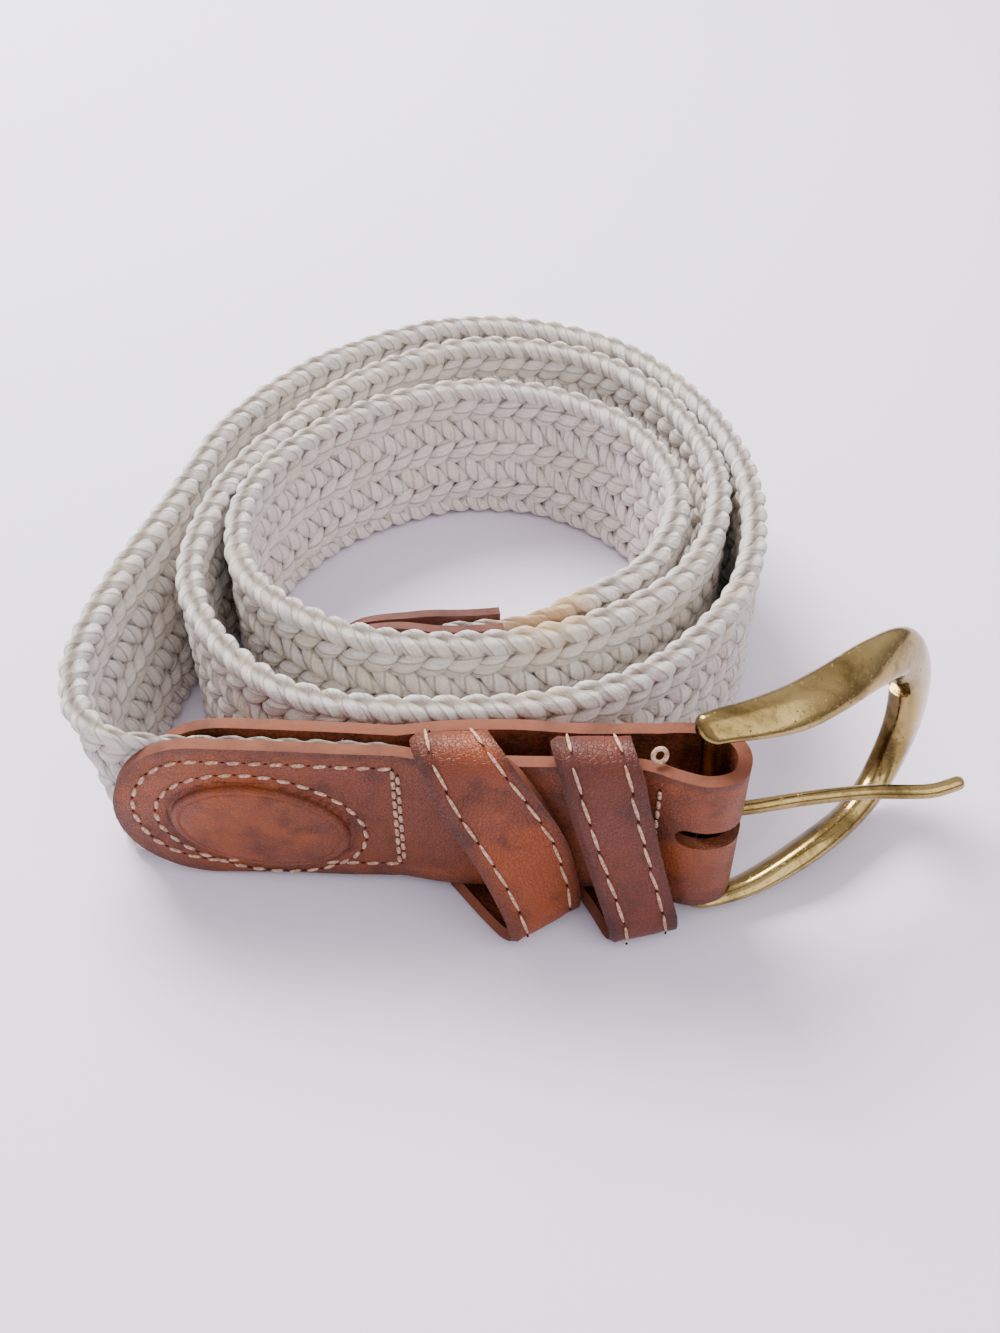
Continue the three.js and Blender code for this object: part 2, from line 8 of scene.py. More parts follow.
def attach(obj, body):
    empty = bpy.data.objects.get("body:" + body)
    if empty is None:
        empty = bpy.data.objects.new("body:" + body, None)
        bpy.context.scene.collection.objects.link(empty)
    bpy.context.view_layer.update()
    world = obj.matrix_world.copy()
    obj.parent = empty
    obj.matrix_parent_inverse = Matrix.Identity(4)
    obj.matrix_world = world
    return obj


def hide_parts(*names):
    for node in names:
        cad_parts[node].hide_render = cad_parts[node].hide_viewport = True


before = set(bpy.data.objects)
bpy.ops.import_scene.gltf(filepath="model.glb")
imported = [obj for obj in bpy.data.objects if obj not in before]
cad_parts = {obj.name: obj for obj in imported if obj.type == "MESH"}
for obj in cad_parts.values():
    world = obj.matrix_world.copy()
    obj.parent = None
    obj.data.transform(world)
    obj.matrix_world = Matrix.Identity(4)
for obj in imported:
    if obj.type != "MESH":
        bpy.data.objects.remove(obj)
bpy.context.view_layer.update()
print("belt frame loaded,", len(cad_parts), "solids")

mm = 0.001
drawingOffset = Vector((-0.0097, -203.2189, 0))  # from the drawing's millimetres to the part's
up = Vector((0, 0, 1))


def toPart(point):
    return (Vector(point) + drawingOffset) * mm


def smoothStep(value, start, end):
    share = min(max((value - start) / (end - start), 0), 1)
    return share * share * (3 - 2 * share)


def readTable(rows, key):
    # straight-line reading of (key, value) pairs
    if key <= rows[0][0]:
        return rows[0][1]
    for (k0, v0), (k1, v1) in zip(rows, rows[1:]):
        if key <= k1:
            return v0 + (v1 - v0) * (key - k0) / (k1 - k0)
    return rows[-1][1]


def spanPoint(p0, p1, p2, p3, share):
    d0, d1, d2 = [max((b - a).length, 1e-6) ** 0.5 for a, b in ((p0, p1), (p1, p2), (p2, p3))]
    m1 = ((p1 - p0) / d0 - (p2 - p0) / (d0 + d1) + (p2 - p1) / d1) * d1
    m2 = ((p2 - p1) / d1 - (p3 - p1) / (d1 + d2) + (p3 - p2) / d2) * d1
    s2, s3 = share * share, share**3
    ends = p1 * (2 * s3 - 3 * s2 + 1) + p2 * (3 * s2 - 2 * s3)
    return ends + m1 * (s3 - 2 * s2 + share) + m2 * (s3 - s2)


class SmoothLine:
    # a smooth line through points, read by distance along it or by share of its spans
    def __init__(self, points, closed=False, perSpan=24):
        points = [Vector(p) for p in points]
        if closed:
            ring = [points[-1]] + points + points[:2]
        else:
            ring = [points[0] * 2 - points[1]] + points + [points[-1] * 2 - points[-2]]
        self.closed = closed
        self.samples = []
        for i in range(1, len(ring) - 2):
            for j in range(perSpan):
                self.samples.append(spanPoint(*ring[i - 1:i + 3], j / perSpan))
        self.samples.append(ring[-2].copy())
        self.distances = [0.0]
        for here, there in zip(self.samples, self.samples[1:]):
            self.distances.append(self.distances[-1] + (there - here).length)
        self.length = self.distances[-1]

    def slope(self, i):
        last = len(self.samples) - 1
        if self.closed:
            return (self.samples[(i + 1) % last] - self.samples[(i - 1) % last]).normalized()
        return (self.samples[min(i + 1, last)] - self.samples[max(i - 1, 0)]).normalized()

    def between(self, i, share):
        point = self.samples[i].lerp(self.samples[i + 1], share)
        return point, self.slope(i).lerp(self.slope(i + 1), share).normalized()

    def at(self, distance):
        i = min(max(bisect_right(self.distances, distance) - 1, 0), len(self.samples) - 2)
        low, high = self.distances[i:i + 2]
        return self.between(i, (distance - low) / (high - low))

    def atShare(self, share):
        place = min(max(share, 0), 1) * (len(self.samples) - 1)
        i = min(int(place), len(self.samples) - 2)
        return self.between(i, place - i)


# starting shapes and finishing touches


def clearSelection():
    if bpy.context.object and bpy.context.object.mode != "OBJECT":
        bpy.ops.object.mode_set(mode="OBJECT")
    bpy.ops.object.select_all(action="DESELECT")


def named(name):
    piece = bpy.context.active_object
    piece.name = name
    piece.data.name = name
    return piece


def startGrid(name, columns, rows):
    clearSelection()
    bpy.ops.mesh.primitive_grid_add(x_subdivisions=columns, y_subdivisions=rows, size=1)
    return named(name)


def shapeGrid(piece, place):
    for vertex in piece.data.vertices:
        vertex.co = place(vertex.co.x + 0.5, vertex.co.y + 0.5)


def activate(piece):
    clearSelection()
    piece.select_set(True)
    bpy.context.view_layer.objects.active = piece


def editAll(piece):
    activate(piece)
    bpy.ops.object.mode_set(mode="EDIT")
    bpy.ops.mesh.select_all(action="SELECT")


def leaveEdit():
    bpy.ops.object.mode_set(mode="OBJECT")


def weld(piece, reach):
    editAll(piece)
    bpy.ops.mesh.remove_doubles(threshold=reach)
    leaveEdit()


def turnOutwards(piece):
    editAll(piece)
    bpy.ops.mesh.normals_make_consistent(inside=False)
    leaveEdit()


def closeUp(piece, reach=0.00002):
    # weld the seam, close open ends and turn every face outwards
    weld(piece, reach)
    editAll(piece)
    bpy.ops.mesh.fill_holes(sides=0)
    leaveEdit()
    turnOutwards(piece)


def settle():
    bpy.ops.object.transform_apply(location=True, rotation=True, scale=True)


def mark(piece, name, values, kind="FLOAT"):
    # values read by the materials, one for each vertex
    column = "vector" if kind == "FLOAT_VECTOR" else "value"
    piece.data.attributes.new(name, kind, "POINT").data.foreach_set(column, values)


def hollow(offset, width):
    # 1 in the middle of a soft hollow, falling to 0 beside it
    return math.exp(-(offset / width) ** 2)


def finishWith(piece, kind, **settings):
    modifier = piece.modifiers.new(kind.title(), kind)
    for name, value in settings.items():
        setattr(modifier, name, value)
    activate(piece)
    bpy.ops.object.modifier_apply(modifier=modifier.name)


def smoothShade(piece, angle=None):
    activate(piece)
    if angle is None:
        bpy.ops.object.shade_smooth()
    else:
        bpy.ops.object.shade_smooth_by_angle(angle=math.radians(angle))


def joinPieces(pieces, name):
    clearSelection()
    for piece in pieces:
        piece.select_set(True)
    bpy.context.view_layer.objects.active = pieces[0]
    bpy.ops.object.join()
    return named(name)


def copyMesh(template, name, place):
    mesh = template.data.copy()
    mesh.transform(place)
    piece = bpy.data.objects.new(name, mesh)
    bpy.context.scene.collection.objects.link(piece)
    return piece


def removePiece(piece):
    bpy.data.objects.remove(piece, do_unlink=True)


def give(piece, *materials):
    piece.data.materials.clear()
    for material in materials:
        piece.data.materials.append(material)


# shader writing


def colour(red, green, blue):
    # screen colour 0 to 255 as linear light
    parts = [c / 255 for c in (red, green, blue)]
    return tuple(c / 12.92 if c <= 0.04045 else ((c + 0.055) / 1.055) ** 2.4 for c in parts) + (1,)


class Wire:
    # a shader socket that can stand in sums
    def __init__(self, recipe, socket):
        self.recipe = recipe
        self.socket = socket

    def __add__(self, other):
        return self.recipe.sum("ADD", self, other)

    def __radd__(self, other):
        return self.recipe.sum("ADD", other, self)

    def __sub__(self, other):
        return self.recipe.sum("SUBTRACT", self, other)

    def __rsub__(self, other):
        return self.recipe.sum("SUBTRACT", other, self)

    def __mul__(self, other):
        return self.recipe.sum("MULTIPLY", self, other)


class Recipe:
    def __init__(self, name):
        self.material = bpy.data.materials.new(name)
        self.material.use_nodes = True
        self.tree = self.material.node_tree
        self.shader = self.tree.nodes["Principled BSDF"]

    def node(self, kind, sockets=None, output=0, **settings):
        made = self.tree.nodes.new(kind)
        for name, value in settings.items():
            setattr(made, name, value)
        for name, value in (sockets or {}).items():
            self.feed(made.inputs[name], value)
        return Wire(self, made.outputs[output])

    def feed(self, socket, value):
        if isinstance(value, Wire):
            self.tree.links.new(value.socket, socket)
        else:
            socket.default_value = value

    def surface(self, **sockets):
        for name, value in sockets.items():
            self.feed(self.shader.inputs[name.replace("_", " ")], value)
        return self.material

    def sum(self, operation, *values):
        return self.node("ShaderNodeMath", dict(enumerate(values)), operation=operation)

    def places(self):
        return self.node("ShaderNodeTexCoord", output="Object")

    def axis(self, where, index):
        return self.node("ShaderNodeSeparateXYZ", {0: where}, index)

    def stretch(self, where, *scale):
        return self.node("ShaderNodeMapping", {"Vector": where, "Scale": scale})

    def attribute(self, name, output="Fac"):
        return self.node("ShaderNodeAttribute", output=output, attribute_name=name)

    def noise(self, where, scale, detail=3.0, rough=0.5, distortion=0.0):
        return self.node("ShaderNodeTexNoise", {
            "Vector": where, "Scale": scale, "Detail": detail, "Roughness": rough, "Distortion": distortion})

    def ramp(self, value, low, high):
        # 0 below low, 1 above high
        ends = {"Value": value, "From Min": low, "From Max": high}
        return self.node("ShaderNodeMapRange", ends, interpolation_type="SMOOTHSTEP")

    def mix(self, share, first, second):
        return self.node("ShaderNodeMix", {0: share, 6: first, 7: second}, 2, data_type="RGBA")

    def bump(self, height, distance, strength):
        return self.node("ShaderNodeBump", {"Height": height, "Distance": distance, "Strength": strength})


cotton = {
    "lit": colour(254, 248, 239), "mid": colour(231, 219, 205), "shade": colour(138, 122, 104),
    "aged": colour(236, 214, 172), "stain": colour(222, 182, 126), "rough": 0.95,
    "stainPlace": (0.0075, -0.0238, 0.034), "stainReach": 0.0125, "stainCore": 0.004,
}


def cottonMaterial():
    r = Recipe("cotton yarn")
    fibre = r.attribute("fibre", "Vector")
    turned = r.sum("ARCTAN2", r.axis(fibre, 2), r.axis(fibre, 1))
    ply = r.sum("ABSOLUTE", r.sum("COSINE", turned * 1.5))  # 0 in the seam between two plies
    where = r.places()
    strands = r.noise(r.stretch(fibre, 0.3, 1.3, 1.3), 2.2, 4.0, 0.7, 0.5)
    lint = r.noise(where, 2600.0, 4.0, 0.75)
    cloud = r.noise(where, 45.0, 3.0)
    tufts = r.noise(where, 420.0, 3.0, 0.6)
    light = r.mix(r.ramp(strands * 0.6 + lint * 0.4, 0.4, 0.58), cotton["mid"], cotton["lit"])
    # painted shade: the yarn is mixed toward its shade colour in the seams between plies, where shade falls
    seam = r.mix(r.ramp(ply, 0.46, 0.0) * 0.65, light, cotton["shade"])
    # painted shade: strand parts that lie low in the braid, under the other strands, are mixed toward the
    # shade colour
    buriedShade = r.mix(r.ramp(r.attribute("lie"), 0.05, 0.68), cotton["shade"], seam)
    tone = r.ramp(cloud * 0.7 + r.attribute("tone") * 0.3, 0.48, 0.8)
    aged = r.mix(tone * 0.3, buriedShade, cotton["aged"])
    away = r.node("ShaderNodeVectorMath", {0: where, 1: cotton["stainPlace"]}, 1, operation="DISTANCE")
    stained = r.mix(r.ramp(away, cotton["stainReach"], cotton["stainCore"]) * 0.9, aged, cotton["stain"])
    height = ply * 0.5 + strands * 0.8 + tufts * 0.25 + lint * 0.4
    return r.surface(Base_Color=stained, Roughness=cotton["rough"], Sheen_Weight=0.4, Sheen_Roughness=0.6,
                     Specular_IOR_Level=0.15, Normal=r.bump(height, 0.0011, 0.9))


def lintMaterial():
    r = Recipe("loose cotton fibre")
    shade = r.mix(r.noise(r.places(), 300.0, 2.0), cotton["mid"], cotton["lit"])
    return r.surface(Base_Color=shade, Roughness=0.95, Specular_IOR_Level=0.1)


def leatherMaterial(name, base, warm, dark, rough, warmth):
    r = Recipe(name)
    where = r.places()
    edge = r.attribute("edge")
    cloud = r.noise(where, 55.0, 4.0, 0.55, 0.4)
    blot = r.noise(where, 150.0, 5.0, 0.6, 0.3)
    fine = r.noise(where, 2600.0, 3.0, 0.6)
    pores = r.node("ShaderNodeTexVoronoi", {"Vector": where, "Scale": 1300.0}, feature="DISTANCE_TO_EDGE")
    creases = r.noise(where, 380.0, 5.0, 0.65, 1.4)
    rolls = r.noise(where, 130.0, 2.0, 0.5, 0.8)
    scuffs = r.noise(r.stretch(where, 260.0, 260.0, 1400.0), 1.0, 3.0, 0.7, 0.6)
    scuff = r.ramp(scuffs, 0.6, 0.74)
    warmed = r.mix(r.ramp(cloud, 0.44, 0.64) * warmth, base, warm)
    mottled = r.mix(r.ramp(blot, 0.46, 0.68) * 0.5, warmed, dark)
    # darker near cut edges, which is rubbed wear, and along the groove round the badge on the tab, which is
    # painted shade where the badge sits in the leather
    edgeWearAndGrooveShade = r.mix(r.ramp(edge, 2.6, 0.1) * 0.5, mottled, dark)
    scuffed = r.mix(scuff * r.ramp(edge, 5.0, 1.0) * 0.55, edgeWearAndGrooveShade, warm)
    flecked = r.mix(r.ramp(creases, 0.6, 0.75) * 0.3, scuffed, dark)
    height = r.ramp(pores, 0.0, 0.12) * 0.25 + creases * 0.6 + fine * 0.2 + rolls * 1.1
    shine = rough + (blot - 0.5) * 0.4 + (fine - 0.5) * 0.15 + scuff * 0.15
    return r.surface(Base_Color=flecked, Roughness=shine, Specular_IOR_Level=0.4,
                     Normal=r.bump(height, 0.0004, 0.85))


def cutEdgeMaterial(name, pale, dark):
    r = Recipe(name)
    where = r.places()
    layers = r.noise(where, 900.0, 4.0, 0.7, 0.6)
    cloud = r.noise(where, 140.0, 3.0)
    shade = r.mix(r.ramp(cloud, 0.4, 0.7) * 0.6, pale, dark)
    shade = r.mix(r.ramp(layers, 0.55, 0.75) * 0.4, shade, dark)
    return r.surface(Base_Color=shade, Roughness=0.75, Specular_IOR_Level=0.25,
                     Normal=r.bump(layers, 0.0002, 0.8))


def suedeMaterial(base, dark):
    r = Recipe("flesh side")
    where = r.places()
    nap = r.noise(where, 1800.0, 4.0, 0.7)
    cloud = r.noise(where, 120.0, 4.0, 0.6)
    shade = r.mix(r.ramp(cloud * 0.6 + nap * 0.4, 0.4, 0.62), dark, base)
    return r.surface(Base_Color=shade, Roughness=0.95, Specular_IOR_Level=0.1,
                     Normal=r.bump(nap, 0.0005, 0.9))


def threadMaterial():
    r = Recipe("waxed thread")
    where = r.places()
    twist = r.noise(where, 1900.0, 3.0, 0.6)
    shade = r.mix(r.ramp(twist, 0.4, 0.65), colour(160, 122, 98), colour(212, 180, 154))
    return r.surface(Base_Color=shade, Roughness=0.7, Specular_IOR_Level=0.3,
                     Normal=r.bump(twist, 0.0002, 0.8))


def holeShadeMaterial():
    # painted shade: a near-black colour stands for the shade inside each needle hole
    r = Recipe("painted needle hole shade")
    fleck = r.noise(r.places(), 1500.0, 2.0)
    shade = r.mix(fleck, colour(38, 18, 12), colour(64, 32, 22))
    return r.surface(Base_Color=shade, Roughness=0.9, Specular_IOR_Level=0.1)


def brassMaterial():
    r = Recipe("worn brass")
    where = r.places()
    cloud = r.noise(where, 70.0, 5.0, 0.6, 0.5)
    patch = r.noise(where, 260.0, 5.0, 0.7, 0.3)
    pits = r.noise(where, 1400.0, 3.0, 0.7)
    scratch = r.noise(r.stretch(where, 300.0, 300.0, 2600.0), 1.0, 3.0, 0.7, 0.2)
    pitted = r.ramp(pits, 0.6, 0.74)
    tarnish = r.ramp(cloud * 0.55 + patch * 0.45, 0.46, 0.66)
    metal = r.mix(r.ramp(cloud, 0.35, 0.65), colour(164, 142, 90), colour(134, 112, 64))
    aged = r.mix(tarnish * 0.75, metal, colour(70, 56, 30))
    spotted = r.mix(pitted * 0.75, aged, colour(48, 38, 22))
    shine = 0.1 + tarnish * 0.16 + scratch * 0.1 + pitted * 0.2
    height = scratch * 0.3 + patch * 0.6 + (1 - r.ramp(pits, 0.58, 0.74)) * 0.5
    return r.surface(Base_Color=spotted, Metallic=1.0, Roughness=shine, Normal=r.bump(height, 0.0001, 0.6))


tabTan = leatherMaterial(
    "tab leather", colour(113, 53, 24), colour(140, 67, 15), colour(54, 22, 9), 0.42, 0.85)
keeperTan = leatherMaterial(
    "left keeper leather", colour(110, 48, 19), colour(138, 62, 14), colour(48, 19, 10), 0.46, 0.9)
keeperPlum = leatherMaterial(
    "right keeper leather", colour(99, 41, 20), colour(114, 50, 19), colour(44, 19, 11), 0.44, 0.6)
tipRose = leatherMaterial(
    "tip leather", colour(112, 64, 48), colour(124, 68, 44), colour(70, 38, 29), 0.55, 0.5)
paleEdge = cutEdgeMaterial("cut edge", colour(119, 68, 47), colour(68, 36, 24))
tipEdge = cutEdgeMaterial("tip cut edge", colour(100, 60, 50), colour(56, 33, 28))
darkSuede = suedeMaterial(colour(124, 66, 38), colour(66, 32, 18))
thread = threadMaterial()
needleHoleShade = holeShadeMaterial()
brass = brassMaterial()
yarn = cottonMaterial()
print("materials ready")

# the strap's run, in the drawing's millimetres

coil = {
    "centre": (-7, 213), "firstHour": 9,
    "radii": [
        57.5, 54.9, 57.4, 62.6, 62.6, 58.2, 56.9, 58.4, 59.7, 58.4, 61.6, 57.5,
        48.5, 43.9, 46.8, 53.2, 55.5, 52.5, 50.5, 48.1, 44.1, 42.7, 45.0, 46.9,
        43.0, 37.9, 35.5, 36.6, 38.6, 40.9, 42.1, 41.0, 38.0, 37.1, 39.3, 42.5,
    ],
    "lead": [(-16, 145.9), (-40, 147.5), (-57, 148.3), (-66, 149.3), (-72.2, 153.8), (-75.2, 163),
             (-75, 174), (-72, 190)],
}
strap = {
    "width": 35, "thickness": 4.6, "endThickness": 1.7, "squeezeStart": 41, "squeezeLength": 16,
    "edgeInset": 0.8, "clear": 0.1, "lean": {"from": (44, 64), "to": (100, 145), "top": 1.3, "foot": 6.0},
}
tip = {
    "startHour": 5.62, "strapEndHour": 6.15, "endHour": 7.32, "width": 31.4, "leather": 1.8,
    "tongue": 21, "lead": 3, "closing": 9, "rim": 0.4, "dent": (0.14, 0.9),
    "columns": 70, "rows": 26, "seamInset": 3.0,
}
tab = {
    "leather": 2.3, "gap": 0.34, "left": -66, "foldX": 39.9, "tongue": 16, "backLeft": -61.5,
    "lower": [(-66, 0.3), (-17, 2.4), (39.9, 5.7)], "upper": [(-66, 34.2), (-17, 34.7), (39.9, 37.3)],
    "front": [(-9, 141.9), (2, 140.8), (14, 140.1), (23, 139.2), (28, 136.9), (33, 135.3), (37.4, 136.5)],
    "foldEnd": (38.9, 140.4),
    "back": [(37.6, 144.0), (33, 146.4), (23, 147.0), (14, 147.3), (2, 148.7), (-9, 148.9)],
    "slotLeft": 28.6, "slotHeight": 4.2, "slotZ": 23.2, "mouthFrom": -14.5, "stitchedTo": -16, "rim": 0.6,
    "columns": 260, "rows": 34, "seamInset": 3.4, "tongueColumns": 0.07, "foldColumns": 0.36, "foldReach": 13,
    "seamDent": (0.28, 1.1), "barDents": [(-17, 0.3, 1.3), (26, 0.25, 1.2)],  # x, depth, width
}


def coilPoint(hoursOn):
    radius = readTable(list(enumerate(coil["radii"])), hoursOn)
    angle = math.radians(90 - 30 * (coil["firstHour"] + hoursOn))
    x, y = coil["centre"]
    return Vector((x + radius * math.cos(angle), y + radius * math.sin(angle), 0))


route = SmoothLine([(x, y, 0) for x, y in coil["lead"]] + [coilPoint(hour) for hour in range(36)])


def routeDistance(hour):
    wanted = coilPoint(24 + (hour - coil["firstHour"]) % 12)
    spots = [route.length * 0.7 + step * 0.25 for step in range(int(route.length * 0.3 / 0.25))]
    return min(spots, key=lambda s: (route.at(s)[0] - wanted).length)


strapEnd = routeDistance(tip["strapEndHour"])
tipStart = routeDistance(tip["startHour"])
tipEnd = routeDistance(tip["endHour"])


def tabLow(x):
    return readTable(tab["lower"], x)


def tabHigh(x):
    return readTable(tab["upper"], x)


def inTab(s):
    return 1 - smoothStep(s, strap["squeezeStart"], strap["squeezeStart"] + strap["squeezeLength"])


def inTip(s):
    return smoothStep(s, tipStart - strap["squeezeLength"], tipStart - tip["lead"])


def strapThickness(s):
    share = min(1 - inTab(s), smoothStep(tipStart - tip["lead"] - s, 0, strap["squeezeLength"]))
    return strap["endThickness"] + (strap["thickness"] - strap["endThickness"]) * share


def strapPlace(s, across, height):
    # a point of the straight strap, moved to where the coiled strap lies
    point, along = route.at(s)
    thin = strapThickness(s) / strap["thickness"]
    inset = strap["edgeInset"]
    bottom = (tabLow(point.x) + inset) * inTab(s) + inTip(s) + strap["clear"]
    top = strap["width"] - 2 * inTip(s) + (tabHigh(point.x) - strap["width"] - inset) * inTab(s)
    level = bottom + (top - bottom) * height / strap["width"]
    lean = strap["lean"]  # the first bend leans outwards, its foot drawn in under it
    share = smoothStep(s, *lean["from"]) * (1 - smoothStep(s, *lean["to"]))
    inward = share * (lean["top"] + lean["foot"] * (1 - height / strap["width"]))
    return toPart(point + up.cross(along).normalized() * (across * thin - inward) + up * level)


# cotton braid: strands that cross from edge to edge, over two and under two

braid = {
    "strands": 15, "rows": 7, "period": 73.0, "ringsPerRow": 8, "sides": 12,
    "width": 3.9, "thickness": 2.5, "flatWide": 0.07, "flatThick": 0.1, "swing": 1.12, "lieDepth": 2.3,
    "edge": 1.75, "edgePlump": 0.34, "edgeShort": 24, "turn": 0.034, "flatEdge": 0.05,
    "start": 1.0, "twist": 7.4, "plies": 3, "lobe": 0.045, "uneven": 0.09, "ringsPerSize": 5,
    "seed": 4, "perPiece": 5,
}


def strandCentre(phase):
    # distance, depth and height of a strand over one period of the braid
    soft = 1 - braid["turn"]
    limit = math.acos(soft) / math.pi
    swingShare = math.acos(soft * math.cos(2 * math.pi * phase)) / math.pi
    share = (swingShare - limit) / (1 - 2 * limit)
    near = min(share, 1 - share)
    near = near * near / (near + braid["flatEdge"]) * (0.5 + braid["flatEdge"]) * 2
    share = near if share < 0.5 else 1 - near
    height = braid["edge"] + share * (strap["width"] - 2 * braid["edge"])
    depth = braid["swing"] * math.sin(2 * braid["rows"] * math.pi * phase)
    return Vector((phase * braid["period"], depth, height))


def strandRing(phase):
    centre = strandCentre(phase)
    along = (strandCentre(phase + 0.001) - strandCentre(phase - 0.001)).normalized()
    wide = along.cross(Vector((0, 1, 0))).normalized()
    thick = wide.cross(along)
    plump = abs(math.sin(2 * braid["rows"] * math.pi * phase))
    turning = abs(math.cos(2 * math.pi * phase)) ** braid["edgeShort"] * braid["edgePlump"]
    halfWide = braid["width"] / 2 * (1 - braid["flatWide"] * (1 - plump)) - turning
    halfThick = braid["thickness"] / 2 * (1 - braid["flatThick"] * (1 - plump)) + turning
    return centre, wide * halfWide, thick * halfThick


def strandPiece(template, spots, rings, k, dice):
    piece = copyMesh(template, "strand", Matrix.Identity(4))
    shift = k / braid["strands"]
    tone, spin = dice.random(), dice.random() * 6.28
    uneven, perSize = braid["uneven"], braid["ringsPerSize"]
    sizes = [1 + dice.uniform(-uneven, uneven) for _ in range(rings // perSize + 3)]
    cache = {}
    fibres, lies = [], []
    for vertex, (p, side, face) in zip(piece.data.vertices, spots):
        key = round(p * rings)
        if key not in cache:
            s = braid["start"] + (strapEnd - braid["start"]) * p
            i, share = divmod(key / perSize, 1)
            plump = sizes[int(i)] * (1 - share) + sizes[int(i) + 1] * share
            cache[key] = (s, plump) + strandRing(s / braid["period"] + shift)
        s, plump, centre, wide, thick = cache[key]
        angle = math.atan2(face, side) + spin + s * 2 * math.pi / braid["twist"]
        plump *= 1 + braid["lobe"] * math.cos(braid["plies"] * angle)
        spot = Vector((s, centre.y, centre.z)) + (wide * side + thick * face) * plump
        vertex.co = strapPlace(spot.x, spot.y, spot.z)
        fibres += [s, math.cos(angle), math.sin(angle)]
        # lie is 0 deep in the braid and 1 on top; the yarn uses it to paint shade on the low parts
        lies.append(min(1, abs(spot.y) / braid["lieDepth"]))
    mark(piece, "fibre", fibres, "FLOAT_VECTOR")
    mark(piece, "lie", lies)
    mark(piece, "tone", [tone] * len(lies))
    return piece


def braidStrands():
    span = strapEnd - braid["start"]
    rings = int(span / braid["period"] * 2 * braid["rows"] * braid["ringsPerRow"])
    template = startGrid("strand_template", rings, braid["sides"])
    shapeGrid(template, lambda p, q: Vector((p, math.cos(2 * math.pi * q), math.sin(2 * math.pi * q))))
    closeUp(template, 0.0001)
    spots = [tuple(vertex.co) for vertex in template.data.vertices]
    dice = random.Random(braid["seed"])
    pieces = [strandPiece(template, spots, rings, k, dice) for k in range(braid["strands"])]
    removePiece(template)
    size = braid["perPiece"]
    return [joinPieces(pieces[i:i + size], "braid_strands_" + letter)
            for i, letter in zip(range(0, braid["strands"], size), "abc")]


fuzz = {
    "count": 8200, "length": (0.5, 1.5), "radius": 0.04, "seed": 12,
    "leastLie": 0.55, "outward": 0.7, "stray": 0.8, "nearTable": 0.003,
}


def fuzzPiece(strands):
    # stray cotton fibres standing off the strands
    clearSelection()
    bpy.ops.mesh.primitive_cone_add(
        vertices=3, radius1=1, radius2=0.4, depth=1, end_fill_type="NGON", location=(0, 0, 0.5))
    template = named("fibre_template")
    settle()
    dice = random.Random(fuzz["seed"])
    hairs = []
    for _ in range(fuzz["count"]):
        mesh = dice.choice(strands).data
        i = dice.randrange(len(mesh.vertices))
        if mesh.attributes["lie"].data[i].value < fuzz["leastLie"]:
            continue
        seat = mesh.vertices[i]
        aim = Vector([dice.uniform(-1, 1) for _ in range(3)])
        way = (seat.normal * fuzz["outward"] + aim * fuzz["stray"]).normalized()
        if seat.co.z < fuzz["nearTable"]:
            way.z = abs(way.z)
        turn = way.to_track_quat("Z", "Y").to_matrix().to_4x4()
        length, radius = dice.uniform(*fuzz["length"]) * mm, fuzz["radius"] * mm
        size = Matrix.Diagonal((radius, radius, length, 1))
        hairs.append(copyMesh(template, "fibre", Matrix.Translation(seat.co) @ turn @ size))
    removePiece(template)
    return joinPieces(hairs, "cotton_fibres")


woven = braidStrands()
lint = fuzzPiece(woven)
give(lint, lintMaterial())
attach(lint, "belt")
for strands in woven:
    smoothShade(strands)
    give(strands, yarn)
    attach(strands, "belt")
    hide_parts("braided_strap")
    print("braid:", strands.name, len(strands.data.polygons), "faces")

# leather tab folded round the buckle's bar


def strapLine(x):
    return readTable(sorted(coil["lead"][:4]), x)


def mouthSpread(x):
    # extra room at the tab's mouth, where the strap swells to its full thickness
    return max(0, strapThickness(tab["mouthFrom"] - x) - strap["endThickness"]) / 2


def tabLine():
    leaf = strap["endThickness"] / 2 + tab["gap"] + tab["leather"] / 2
    stitched = [-17, -26, -34, -42, -50, -58]
    points = [(x, strapLine(x) - leaf - mouthSpread(x), 0) for x in [tab["left"]] + stitched[::-1]]
    points += [(x, y, 0) for x, y in tab["front"] + [tab["foldEnd"]] + tab["back"]]
    points += [(x, strapLine(x) + leaf + mouthSpread(x), 0) for x in stitched + [tab["backLeft"]]]
    return SmoothLine(points)


tabCurve = tabLine()
foldAt = max(zip(tabCurve.samples, tabCurve.distances), key=lambda pair: pair[0].x)[1]
leastTongue = 0.08  # a tongue's end is this share of its height, so that it isn't a bare point


def tongueShare(distance, length):
    reach = max(0, length - distance) / length
    return max(leastTongue, math.sqrt(max(0, 1 - reach * reach)))


def tabDistance(side, x):
    # where along the folded strip its front or back leaf passes x
    low, high = (0, foldAt) if side == "front" else (tabCurve.length, foldAt)
    for _ in range(30):
        middle = (low + high) / 2
        if tabCurve.at(middle)[0].x < x:
            low = middle
        else:
            high = middle
    return low


def tabStation(p):
    # columns stand closer together at the two tongues and round the fold
    total, tongue, end = tabCurve.length, tab["tongue"], tab["tongueColumns"]
    if p < end:
        return tongue * (1 - math.cos(p / end * math.pi / 2))
    if p > 1 - end:
        return total - tongue * (1 - math.cos((1 - p) / end * math.pi / 2))
    fold, reach = tab["foldColumns"], tab["foldReach"]
    rows = [(end, tongue), (fold, foldAt - reach), (1 - fold, foldAt + reach), (1 - end, total - tongue)]
    return readTable(rows, p)


badge = {
    "length": 31, "height": 20.5, "x": -41, "z": 15, "turn": 9, "ringGap": 2.6, "sides": 96, "lift": 0.25,
    "dents": [(1.045, 1.2, 0.03), (1.19, 0.3, 0.06)],  # reach, depth, width
    "swell": 0.35, "swellReach": (0.8, 1.25), "groove": 1.04, "grooveScale": 55, "edgeStart": 1.5,
}


